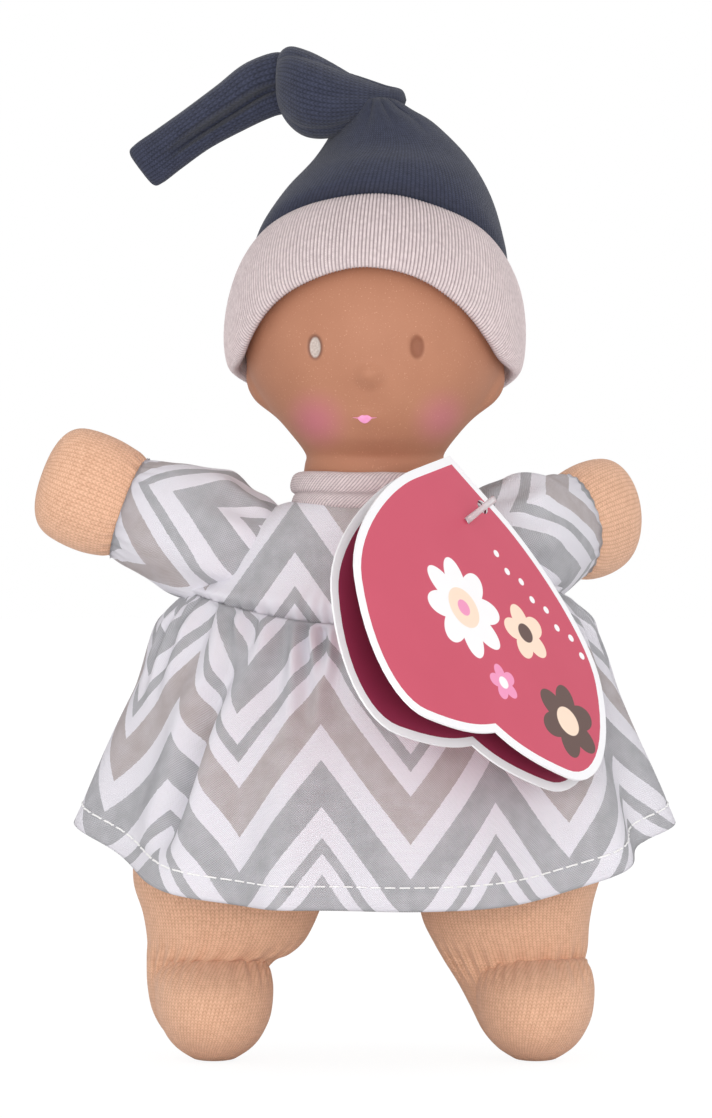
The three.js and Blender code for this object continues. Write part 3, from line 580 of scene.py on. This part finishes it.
def collar_point(across, along):
    radius, height = spline(collar_section, along)
    angle = math.tau * across
    sway = waver(angle, 1.5, 0.4)
    slanted = across * collar_wales + collar_slant * collar_cut * along / rib_wale
    radius += rib(slanted, collar_ridge) * (1 - smoothstep(0.85, 0.95, along)) + 0.3 * sway
    return around(angle, radius, radius, height + 0.5 * sway)


collar = sheet_grid("collar_rib", collar_wales * 5, 34, collar_point, (collar_wales * rib_wale, collar_cut),
                    slant=collar_slant)
dress(collar, rib_knit, "rib_knit", "torso", "collar")
thread_finish, tree, shader = finish("tie_thread", 0.85)
place = node(tree, "TexCoord", output=3)
twist = node(tree, "TexNoise", {"Vector": place, "Scale": 1200.0})
tree.links.new(mix(tree, twist, paint(236, 235, 234), paint(248, 247, 247)), shader.inputs["Base Color"])
frame["nodes"]["neck_tie"].data.materials.clear()
frame["nodes"]["neck_tie"].data.materials.append(thread_finish)

# Bodice: the upper body, cut from printed cotton, stuffed, and sewn to the sleeves along slanted
# seams. The print is a zigzag of grey and taupe stripes on white.
chevron_half, chevron_slope, thread_gap = 20.3, 1.41, 0.56
white, grey, taupe = paint(232, 229, 236), paint(158, 158, 161), paint(172, 160, 158)
stripes = [
    (taupe, 11.5), (white, 8.4), (grey, 11.3), (white, 7.4), (grey, 3.9),
    (white, 5.0), (grey, 11.3), (white, 7.4), (grey, 4.2), (white, 6.0),
]
stripe_repeat = sum(width for colour, width in stripes)


def cotton_finish():
    material, tree, shader = finish("printed_cotton", 0.88, sheen=0.08, specular=0.2)
    parts = node(tree, "SeparateXYZ", {0: node(tree, "UVMap")})
    down = parts.node.outputs[1]
    place = node(tree, "TexCoord", output=3)
    ragged = node(tree, "TexNoise", {"Vector": place, "Scale": 1600.0, "Detail": 1.0})
    zigzag = math_node(tree, "PINGPONG", parts, chevron_half)
    level = math_node(tree, "SUBTRACT", down, math_node(tree, "MULTIPLY", zigzag, chevron_slope))
    level = math_node(tree, "MULTIPLY_ADD", ragged, 0.5, level)
    repeat = math_node(tree, "FLOORED_MODULO", level, stripe_repeat)
    ramp = tree.nodes.new("ShaderNodeValToRGB")
    ramp.color_ramp.interpolation = "CONSTANT"
    tree.links.new(math_node(tree, "DIVIDE", repeat, stripe_repeat), ramp.inputs[0])
    edge = 0.0
    for i, (colour, width) in enumerate(stripes):
        stop = ramp.color_ramp.elements[0] if i == 0 else ramp.color_ramp.elements.new(edge / stripe_repeat)
        stop.color = colour
        edge += width
    ramp.color_ramp.elements.remove(ramp.color_ramp.elements[-1])
    thread = math.tau / thread_gap
    warp = math_node(tree, "SINE", math_node(tree, "MULTIPLY", parts, thread))
    weft = math_node(tree, "SINE", math_node(tree, "MULTIPLY", down, thread))
    weave = math_node(tree, "MULTIPLY_ADD", math_node(tree, "MULTIPLY", warp, weft), 0.5, 0.5)
    slubs = node(tree, "TexNoise", {"Vector": place, "Scale": 260.0, "Detail": 3.0})
    bare = math_node(tree, "MULTIPLY", weave, slubs)
    tree.links.new(mix(tree, bare, ramp.outputs[0], paint(226, 223, 230)), shader.inputs["Base Color"])
    bump = node(tree, "Bump", {"Height": weave, "Strength": 1.0, "Distance": 0.14 * mm})
    tree.links.new(bump, shader.inputs["Normal"])
    return material


cotton = cotton_finish()
waist_z, yoke_z = (corner.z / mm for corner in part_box("bodice"))
waist_wide, waist_deep, side_climb = 42.0, 23.4, 7.0
bodice_rings = [
    (waist_z - 5.0, 36.0, 19.0), (waist_z, waist_wide - 0.6, waist_deep - 0.6), (waist_z + 4.0, 41.6, 25.6),
    (waist_z + 9.0, 38.0, 24.4), (waist_z + 15.0, 34.4, 22.8), (waist_z + 21.0, 29.6, 20.6),
    (yoke_z + 0.4, 21.6, 17.8), (yoke_z + 1.6, 15.0, 14.5),
]


def seam_rise(angle):
    """How far the waist seam climbs from the middle of the front to the sides."""
    return side_climb * math.sin(angle) ** 2


def puckers(across, count):
    """Folds of a drawn thread, uneven along the cloth, from about -1 to 1."""
    turn = math.tau * across
    uneven = turn + 0.05 * math.sin(7 * turn + 1) + 0.03 * math.sin(13 * turn)
    depth = 0.75 + 0.8 * waver(turn, 5, count)
    return depth * math.cos(count * uneven)


def bodice_point(across, along):
    z, wide, deep = spline(bodice_rings, along)
    angle = math.tau * across
    low = 1 - smoothstep(0.1, 0.5, along)
    reach = 0.6 * waver(angle, 2, 3 * along) + 0.7 * puckers(across, 64) * low
    return around(angle, wide + reach, deep + reach, z + seam_rise(angle) * low)


bodice = sheet_grid("bodice_cotton", 420, 60, bodice_point, (206, 38))
print_aside, print_up = 18.0, 146.3
for face in bodice.data.polygons:
    back = 1 if face.center.y > axis_y else -1
    for corner in face.loop_indices:
        spot = bodice.data.vertices[bodice.data.loops[corner].vertex_index].co
        u = back * ((spot.x - axis_x) / mm + print_aside)
        bodice.data.uv_layers.active.data[corner].uv = (u, print_up - spot.z / mm)
dress(bodice, cotton, "printed_cotton", "torso", "bodice", "torso_stuffing")


# Sleeves: puffed tubes of the print, set into the bodice as a ball in a socket, gathered at the
# wrist and filled. The doll's right arm is held out to the side, the left is swept back.
arms = {"right": (-1, 20, 9), "left": (1, 9, 51)}
sleeve_profile = [
    (-11.0, 0.0), (-10.6, 9.0), (-5.0, 13.4), (3.0, 15.0), (10.0, 15.2), (17.0, 14.3),
    (23.0, 12.9), (26.8, 11.7), (27.5, 11.0), (27.2, 0.0),
]
wrist_flat = 19 / 22.8
puff_size, tuck_depth, collar_room = 1.1, 0.8, 1.7


def arm_rule(name, side, lift, back):
    """A rule that puts a point, in millimetres across and along an arm, at its shoulder."""
    shoulder = Vector(joints[name + "_arm_raise"]["pos_m"])
    swept = Matrix.Rotation(math.radians(side * back), 3, "Z")
    turned = swept @ Matrix.Rotation(math.radians(side * (90 - lift)), 3, "Y")
    return lambda aside, deep, reach: shoulder + turned @ Vector((aside, deep, reach)) * mm


def build_sleeve(name, side, lift, back):
    on_arm = arm_rule(name, side, lift, back)

    def sleeve_point(across, along):
        reach, radius = spline(sleeve_profile, along)
        angle = math.tau * across
        flat = 1 + (wrist_flat - 1) * smoothstep(4, 27, reach)
        puff = puff_size * waver(angle, 1.4, 0.11 * reach + 7 * side) * smoothstep(-4, 4, reach)
        gather = 0.2 * math.cos(26 * angle + 2 * math.sin(3 * angle)) * smoothstep(20, 26, reach)
        tucks = tuck_depth * math.cos(9 * angle + 1 + side) * band(-6, 0, 3, 15, reach)
        above = max(0.0, -side * math.sin(angle)) ** 2
        room = collar_room * above * (1 - smoothstep(2, 9, reach))
        radius = max(0.0, radius + (puff + gather + tucks - room) * min(1.0, radius / 6))
        return on_arm(radius * math.sin(angle), flat * radius * math.cos(angle), reach)

    piece = sheet_grid(name + "_sleeve_cotton", 140, 70, sleeve_point, (92, 63), (-17.2, -24.7))
    dress(piece, cotton, "printed_cotton", "arm_" + name, name + "_sleeve", name + "_arm_stuffing")


for name, arm in arms.items():
    build_sleeve(name, *arm)

# Hands: mittens of tan jersey, stuffed and sewn into the ends of the sleeves.
tan_jersey = knit_finish("tan_jersey", paint(178, 126, 94), paint(237, 190, 159),
                         wale=0.95, course=0.7, depth=0.22, groove=0.75, wander=0.9)
hand_profile = [
    (25.0, 0.0, 0.0), (25.2, 10.3, 8.6), (27.0, 11.0, 9.2), (30.0, 12.6, 9.6), (35.0, 13.5, 9.6),
    (40.5, 13.4, 9.2), (44.5, 12.4, 8.2), (47.0, 10.0, 6.6), (48.4, 6.0, 4.2), (48.8, 0.0, 0.0),
]


def build_hand(name, side, lift, back):
    on_arm = arm_rule(name, side, lift, back)

    def hand_point(across, along):
        reach, wide, deep = spline(hand_profile, along)
        angle = math.tau * across
        pinch = 0.3 * math.cos(22 * angle) * (1 - smoothstep(27, 32, reach)) * min(1, wide / 5)
        lean = -0.5 * side * smoothstep(30, 48, reach)
        wide, deep = wide + pinch, deep + pinch
        return on_arm(wide * math.sin(angle) + lean, deep * math.cos(angle), reach)

    piece = sheet_grid(name + "_hand_jersey", 110, 60, hand_point, (72, 36))
    dress(piece, tan_jersey, "tan_jersey", "arm_" + name, name + "_hand")


for name, arm in arms.items():
    build_hand(name, *arm)

# Seat: the tan jersey bag under the skirt that joins the bodice to the legs.
hip_z = joints["right_leg_swing"]["pos_m"][2] / mm
seat_rings = [
    (hip_z - 19.2, 30.0, 0.0), (hip_z - 18.6, 46.0, 5.0), (hip_z - 14.0, 49.0, 13.0),
    (hip_z - 6.0, 50.6, 18.0), (hip_z + 4.0, 50.8, 19.2), (hip_z + 16.0, 47.0, 20.6),
    (hip_z + 28.0, 43.0, 21.8), (waist_z - 3.0, 40.0, 22.0),
]


def seat_point(across, along):
    z, wide, deep = spline(seat_rings, along)
    return around(math.tau * across, wide, deep, z)


seat = sheet_grid("seat_jersey", 120, 50, seat_point, (230, 70))
dress(seat, tan_jersey, "tan_jersey", "torso", "seat")

# Legs and feet: stuffed knit bags. Each leg runs down into the heel in one, and a round toe bag is
# sewn to its front, with a drawn thread across the ankle. Both feet turn to the doll's left.
ankle_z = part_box("right_foot")[1].z / mm
leg_rings = {
    "right": [
        (0.5, -38.0, 0.0, 0.0, 3.0), (0.7, -38.0, 4.0, 4.0, 3.0), (2.9, -38.9, 6.0, 7.5, 3.0),
        (6.3, -39.6, 8.7, 9.8, 2.8), (10.9, -39.8, 10.9, 11.0, 2.4), (16.5, -39.3, 12.4, 11.6, 1.8),
        (21.8, -37.4, 14.3, 12.0, 1.0), (23.6, -35.5, 16.2, 12.6, 0.6), (27.0, -33.7, 18.0, 13.6, 0.2),
        (33.0, -32.7, 20.0, 15.0, 0.0), (40.0, -32.6, 22.2, 16.2, 0.0), (48.0, -31.4, 23.2, 16.5, 0.0),
        (56.0, -30.7, 22.5, 16.0, 0.0), (64.0, -30.5, 19.0, 13.0, 0.0), (68.0, -30.5, 10.0, 7.0, 0.0),
        (69.0, -30.5, 0.0, 0.0, 0.0),
    ],
    "left": [
        (0.5, 34.0, 0.0, 0.0, 3.0), (0.7, 34.0, 4.0, 4.0, 3.0), (2.9, 33.6, 6.6, 7.5, 3.0),
        (6.3, 33.2, 8.9, 9.8, 2.8), (10.9, 33.0, 11.0, 11.0, 2.4), (16.5, 32.6, 13.5, 11.6, 1.8),
        (22.4, 31.6, 16.0, 12.0, 1.0), (25.6, 31.0, 17.3, 12.8, 0.4), (30.6, 29.9, 18.8, 14.4, 0.0),
        (36.0, 29.7, 20.0, 15.4, 0.0), (42.0, 30.0, 21.5, 16.2, 0.0), (48.0, 30.4, 22.8, 16.5, 0.0),
        (56.0, 30.6, 22.4, 16.0, 0.0), (64.0, 30.5, 19.0, 13.0, 0.0), (68.0, 30.5, 10.0, 7.0, 0.0),
        (69.0, 30.5, 0.0, 0.0, 0.0),
    ],
}
toe_places = {"right": -36.4, "left": 36.3}
toe_rings = [
    (0.0, -5.0, 0.0, 0.0), (0.1, -5.0, 3.8, 6.4), (0.8, -5.2, 5.6, 9.2), (2.9, -5.6, 8.6, 12.6),
    (5.8, -6.2, 10.9, 15.0), (10.2, -6.6, 12.8, 16.0), (15.6, -6.0, 13.4, 15.4), (19.4, -4.6, 12.9, 13.0),
    (21.6, -3.4, 11.9, 10.4), (22.9, -2.4, 10.4, 8.0), (23.2, -2.0, 0.0, 0.0),
]


gather_count, gather_depth, gather_high = 24, 0.6, 4.0


def gather(angle, z, wide):
    """Small puckers along the front of the thread at the ankle, fading above and below it."""
    fade = math.exp(-(((z - ankle_z) / gather_high) ** 2)) * smoothstep(-0.2, 0.5, -math.cos(angle))
    pucker = gather_depth * fade * math.cos(gather_count * angle + 2.2 * math.sin(3 * angle + 1))
    return pucker * min(1, wide / 6)


def build_leg(name):
    def leg_point(across, along):
        z, x, wide, deep, back = spline(leg_rings[name], along)
        angle = math.tau * across
        pucker = gather(angle, z, wide)
        return around(angle, wide + pucker, deep + pucker, z, x, back)

    def toe_point(across, along):
        z, forward, wide, deep = spline(toe_rings, along)
        angle = math.tau * across
        pucker = gather(angle, z, wide)
        return around(angle, wide + pucker, deep + pucker, max(0.0, z), toe_places[name], forward)

    leg = sheet_grid(name + "_leg_jersey", 140, 90, leg_point, (118, 84))
    dress(leg, tan_jersey, "tan_jersey", "leg_" + name, name + "_leg", name + "_leg_stuffing")
    toe = sheet_grid(name + "_foot_jersey", 130, 70, toe_point, (86, 48), slant=0.25)
    dress(toe, tan_jersey, "tan_jersey", "leg_" + name, name + "_foot", name + "_foot_stuffing")


for name in leg_rings:
    build_leg(name)

# Skirt: a straight length of the print, gathered into the waist seam, flaring to a turned hem.
# One row of white running stitches holds the hem up.
hem_drop, hem_rise = 62.5, 19.0
skirt_flat, skirt_length = 365.4, 70.0
hem_half = (67.8, 44.0)
skirt_sizes = [
    (0.0, waist_wide, waist_deep), (0.105, 47.8, 28.6), (0.235, 50.6, 30.6), (0.365, 53.4, 32.8),
    (0.495, 56.4, 35.0), (0.622, 59.4, 37.4), (0.748, 62.3, 39.7), (0.874, 65.1, 41.9), (1.0, *hem_half),
]
hem_steps = 120
hem_round = [math.tau * i / hem_steps for i in range(hem_steps + 1)]
hem_walk = walk([(hem_half[0] * math.sin(turn), hem_half[1] * math.cos(turn)) for turn in hem_round])
stitch_level, stitch_count = 0.915, 112
pleat_at, pleat_lean, pleat_deep = 0.6, 0.05, 5.4
fold_count, fold_high = 11, 2.2
fine_count, fine_high, merged_count, merged_high = 46, 2.3, 32, 1.5


def skirt_place(across, along, outward=0.0):
    step, wide, deep = spline(skirt_sizes, along)
    girth = (wide + deep) / sum(hem_half)
    level = 0.86 + 0.14 * smoothstep(0.0, 0.4, step)
    slip = (level - girth) * math.sin(2 * math.tau * (across - 0.5)) / math.tau
    x, y = hem_walk(across + 0.5 * slip / girth)
    angle = math.atan2(x / hem_half[0], y / hem_half[1])
    side = math.sin(angle) ** 2
    warped = angle + 0.12 * math.sin(3 * angle + 1) + 0.07 * math.sin(5 * angle + 2)
    swing = math.cos(fold_count * warped + 0.8 * math.sin(2 * angle))
    broad = fold_high * smoothstep(0.1, 1.0, step) * swing
    bunched = 0.35 + 0.5 * bell(across - 0.57, 0, 0.09, 1)
    bunched += 0.8 * bell(across - 0.63, 0, 0.025, 1) + 0.7 * bell(across - 0.548, 0, 0.018, 1)
    fine = fine_high * bunched * puckers(across, fine_count) * band(0.0, 0.03, 0.05, 0.24, step)
    merged = merged_high * puckers(across, merged_count) * band(0.03, 0.14, 0.16, 0.5, step)
    soft = 1.2 * waver(angle, 2.4, 2.2 * step)
    beside = across - pleat_at - pleat_lean * step
    pleat = 2.0 * bell(beside + 0.02, 0, 0.012, 1) - pleat_deep * bell(beside, 0, 0.009, 1)
    pleat += 1.6 * bell(beside - 0.02, 0, 0.012, 1)
    pleat *= band(0.12, 0.45, 0.78, 0.93, step)
    tight = 1 + 0.5 * math.cos(stitch_count * math.tau * across)
    drawn = -0.3 * bell(along - stitch_level, 0, 0.012, 1) * tight
    reach = broad + fine + merged + soft * smoothstep(0.02, 0.3, step) + pleat + drawn + outward
    drop = hem_drop - hem_rise * side * side
    z = waist_z - 0.2 + seam_rise(angle) * (1 - step) - drop * step
    return around(angle, wide + reach, deep + reach, z)


skirt = sheet_grid("skirt_cotton", 540, 70, skirt_place, (skirt_flat, skirt_length), (7.8, -13.9))
apply_modifier(skirt, "SOLIDIFY", thickness=0.8 * mm, offset=-1)
dress(skirt, cotton, "printed_cotton", "torso", "skirt")

stitch_radius = 0.2


def stitch_point(across, along):
    turn = math.tau * along
    over = smoothstep(-0.97, -0.7, math.cos(stitch_count * math.tau * across))
    lift = -1.4 + 1.7 * over + stitch_radius * math.cos(turn)
    return skirt_place(across, stitch_level + stitch_radius * math.sin(turn) / skirt_length, lift)


stitches = sheet_grid("hem_stitches", stitch_count * 12, 6, stitch_point, (skirt_flat, 1.5))
dress(stitches, thread_finish, "tie_thread", "torso")

# Tag: a heart of coated card folded in two along the flank beside its point, pink outside with a white
# border.
# Inside the fold both leaves are painted a darker copy of the pink: the inner print's red with painted
# shade of the nearly closed fold. It hangs on a clear nylon thread with a cross bar.
tag_at = Vector(joints["tag_swing"]["pos_m"])
tag_facing = Vector(joints["tag_swing"]["axis"]).normalized()
fold_at = Vector(joints["leaf_open"]["pos_m"])
fold_along = -Vector(joints["leaf_open"]["axis"]).normalized()
fold_out = tag_facing.cross(fold_along)
hole_along, hole_inset = 13.0, 4.0
heart_tip = math.radians(57)
heart_long, heart_wide, heart_notch, fold_length = 76.6, 81.6, 4.0, 18.0
border, hole_size = 2.0, 1.7


def heart_outline():
    """Half a heart from its point to its notch, along and across its own axis, then its mirror."""
    half, widest, lobe = heart_wide / 2, heart_long * 0.61, heart_wide * 0.28
    flat = (fold_length * math.cos(heart_tip), fold_length * math.sin(heart_tip))
    flank = [(0.0, 0.0), (flat[0] * 0.5, flat[1] * 0.5), flat]
    side = bezier([flat, (flat[0] * 1.7, flat[1] * 1.7), (widest * 0.72, half), (widest, half)], 14)
    end = (heart_long, lobe)
    shoulder = bezier([(widest, half), (heart_long * 0.85, half), (heart_long, half * 0.8), end], 12)
    notch = (heart_long - heart_notch, 0.0)
    dip = bezier([end, (heart_long, lobe * 0.45), (notch[0] + heart_notch * 0.5, lobe * 0.2), notch], 10)
    points = flank[:-1] + side[:-1] + shoulder[:-1] + dip
    return points + [(along, -across) for along, across in reversed(points[1:-1])]


def on_card(along, across):
    """A point of the heart from the hole: along the fold, and up towards it."""
    x = math.cos(heart_tip) * along + math.sin(heart_tip) * across - hole_along
    y = -math.sin(heart_tip) * along + math.cos(heart_tip) * across + hole_inset
    return x, y


def round_mark(tree, centre, radius, petals=0, depth=0.0):
    """1 inside a disc of the card's flat map, or a blossom with petals, and 0 outside it."""
    flat = {0: node(tree, "UVMap"), 1: (1, 1, 0), 2: (-centre[0], -centre[1], 0)}
    spot = node(tree, "VectorMath", flat, operation="MULTIPLY_ADD")
    reach = node(tree, "VectorMath", {0: spot}, output=1, operation="LENGTH")
    if petals:
        parts = node(tree, "SeparateXYZ", {0: spot})
        turn = math_node(tree, "ARCTAN2", parts.node.outputs[1], parts)
        wave = math_node(tree, "COSINE", math_node(tree, "MULTIPLY", turn, petals / 2))
        wave = math_node(tree, "ABSOLUTE", wave)
        radius = math_node(tree, "MULTIPLY_ADD", wave, depth, radius - depth)
    inside = math_node(tree, "SUBTRACT", radius, reach)
    return node(tree, "MapRange", {"Value": inside, "From Min": -0.08, "From Max": 0.08})


def card_finish(name, colour, fleck, marks=()):
    material, tree, shader = finish(name, 0.42, specular=0.45)
    place = node(tree, "TexCoord", output=3)
    cloud = node(tree, "TexNoise", {"Vector": place, "Scale": 40.0, "Detail": 2.0})
    printed = mix(tree, cloud, colour, fleck)
    for tint, *shape in marks:
        printed = mix(tree, round_mark(tree, *shape), printed, tint)
    tree.links.new(printed, shader.inputs["Base Color"])
    tooth = node(tree, "TexNoise", {"Vector": place, "Scale": 2500.0})
    bump = node(tree, "Bump", {"Height": tooth, "Strength": 0.15, "Distance": 0.05 * mm})
    tree.links.new(bump, shader.inputs["Normal"])
    return material


card_white = card_finish("card_white", paint(240, 239, 242), paint(248, 247, 249))
crimson, rose = paint(196, 66, 92), paint(206, 76, 102)
cream, umber = paint(250, 222, 200), paint(92, 66, 60)
blush, pale_print_and_glint = paint(240, 150, 190), paint(248, 246, 247)
blossoms = [
    (pale_print_and_glint, (6.0, -34.0), 12.5, 8, 4.0), (cream, (6.0, -34.0), 5.0), (blush, (6.0, -34.0), 2.0),
    (umber, (42.0, -33.0), 9.5, 6, 3.2), (cream, (42.0, -33.0), 3.6),
    (cream, (23.0, -22.0), 7.2, 5, 2.6), (umber, (23.0, -22.0), 2.4),
    (blush, (23.0, -42.0), 4.6, 5, 1.8), (pale_print_and_glint, (23.0, -42.0), 1.5),
]
blossoms += [(pale_print_and_glint, (8.0 + 4.4 * i, -9.0 - 1.6 * (i % 2)), 0.9) for i in range(9)]
card_pink = card_finish("card_pink", crimson, rose)
card_print = card_finish("card_print", crimson, rose, blossoms)
# Inside of the fold: a darker copy of the pink, the inner print's red with painted shade of the nearly
# closed fold.
card_fold_shade = card_finish("card_fold_red_and_shade", paint(140, 44, 72), paint(152, 52, 80))
card_thick, curl_span = 0.5, 70


def heart_card(name, outside, inside, lift, tilt, curl):
    bpy.ops.object.select_all(action="DESELECT")
    outline = [on_card(*point) for point in reversed(heart_outline())]
    bpy.ops.mesh.primitive_circle_add(vertices=len(outline), radius=1, fill_type="NGON")
    piece = bpy.context.active_object
    piece.name = name
    for vertex, (x, y) in zip(piece.data.vertices, outline):
        vertex.co = (x * mm, y * mm, 0)
    for material in (card_white, outside, card_white, inside):
        piece.data.materials.append(material)
    bpy.ops.object.mode_set(mode="EDIT")
    bpy.ops.mesh.select_all(action="SELECT")
    bpy.ops.mesh.inset(thickness=border * mm, depth=0)
    piece.active_material_index = 1
    bpy.ops.object.material_slot_assign()
    bpy.ops.mesh.select_all(action="SELECT")
    bpy.ops.mesh.quads_convert_to_tris()
    bpy.ops.mesh.subdivide(number_cuts=3)
    bpy.ops.object.mode_set(mode="OBJECT")
    for loop, corner in zip(piece.data.loops, piece.data.uv_layers.active.data):
        corner.uv = piece.data.vertices[loop.vertex_index].co.xy / mm
    turned = Matrix.Rotation(-math.radians(tilt), 3, fold_along)
    up, out = turned @ fold_out, turned @ tag_facing
    for vertex in piece.data.vertices:
        x, y = vertex.co.x, vertex.co.y
        below = max(0.0, hole_inset * mm - y)
        height = lift * mm + curl * mm * (below / (curl_span * mm)) ** 2
        vertex.co = fold_at + fold_along * x + up * (y - hole_inset * mm) + out * height
    apply_modifier(piece, "SOLIDIFY", thickness=card_thick * mm, offset=0,
                   material_offset=2, material_offset_rim=0)
    bpy.ops.mesh.primitive_cylinder_add(vertices=32, radius=hole_size * mm, depth=6 * mm)
    punch = bpy.context.active_object
    punch.rotation_euler = tag_facing.to_track_quat("Z", "Y").to_euler()
    punch.location = tag_at
    bpy.context.view_layer.update()
    apply_modifier(piece, "BOOLEAN", object=punch, operation="DIFFERENCE", solver="EXACT")
    bpy.data.objects.remove(punch)
    bpy.ops.object.select_all(action="DESELECT")
    piece.select_set(True)
    bpy.ops.object.shade_smooth_by_angle(angle=math.radians(35))
    return piece


back_leaf = heart_card("tag_back_card", card_fold_shade, card_pink, lift=-0.4, tilt=1, curl=-2.2)
dress(back_leaf, None, "card", "tag", "tag_back_leaf")
front_leaf = heart_card("tag_front_card", card_print, card_fold_shade, lift=0.4, tilt=7, curl=-2.2)
dress(front_leaf, None, "card", "leaf", "tag_front_leaf")

nylon, tree, shader = finish("clear_nylon", 0.3)
place = node(tree, "TexCoord", output=3)
haze = node(tree, "TexNoise", {"Vector": place, "Scale": 300.0})
tree.links.new(mix(tree, haze, paint(226, 220, 222), paint(242, 238, 240)), shader.inputs["Base Color"])
shader.inputs["Transmission Weight"].default_value = 0.55
bar_rings = [(-4.3, 0.0), (-4.3, 0.6), (-4.1, 0.8), (0.0, 0.72), (4.1, 0.8), (4.3, 0.6), (4.3, 0.0)]
bar_middle = tag_at + Vector((0.15, -7.2, -0.1)) * mm
bar_turned = Vector((0.718, 0.412, 0.565)).to_track_quat("Z", "Y")


def bar_point(across, along):
    reach, radius = spline(bar_rings, along)
    turn = math.tau * across
    return bar_middle + bar_turned @ Vector((radius * math.cos(turn), radius * math.sin(turn), reach)) * mm


bar = sheet_grid("fastener_bar_nylon", 20, 30, bar_point, (4, 9))
dress(bar, nylon, "nylon", "leaf", "fastener_bar")
frame["nodes"]["fastener_thread"].data.materials.clear()
frame["nodes"]["fastener_thread"].data.materials.append(nylon)
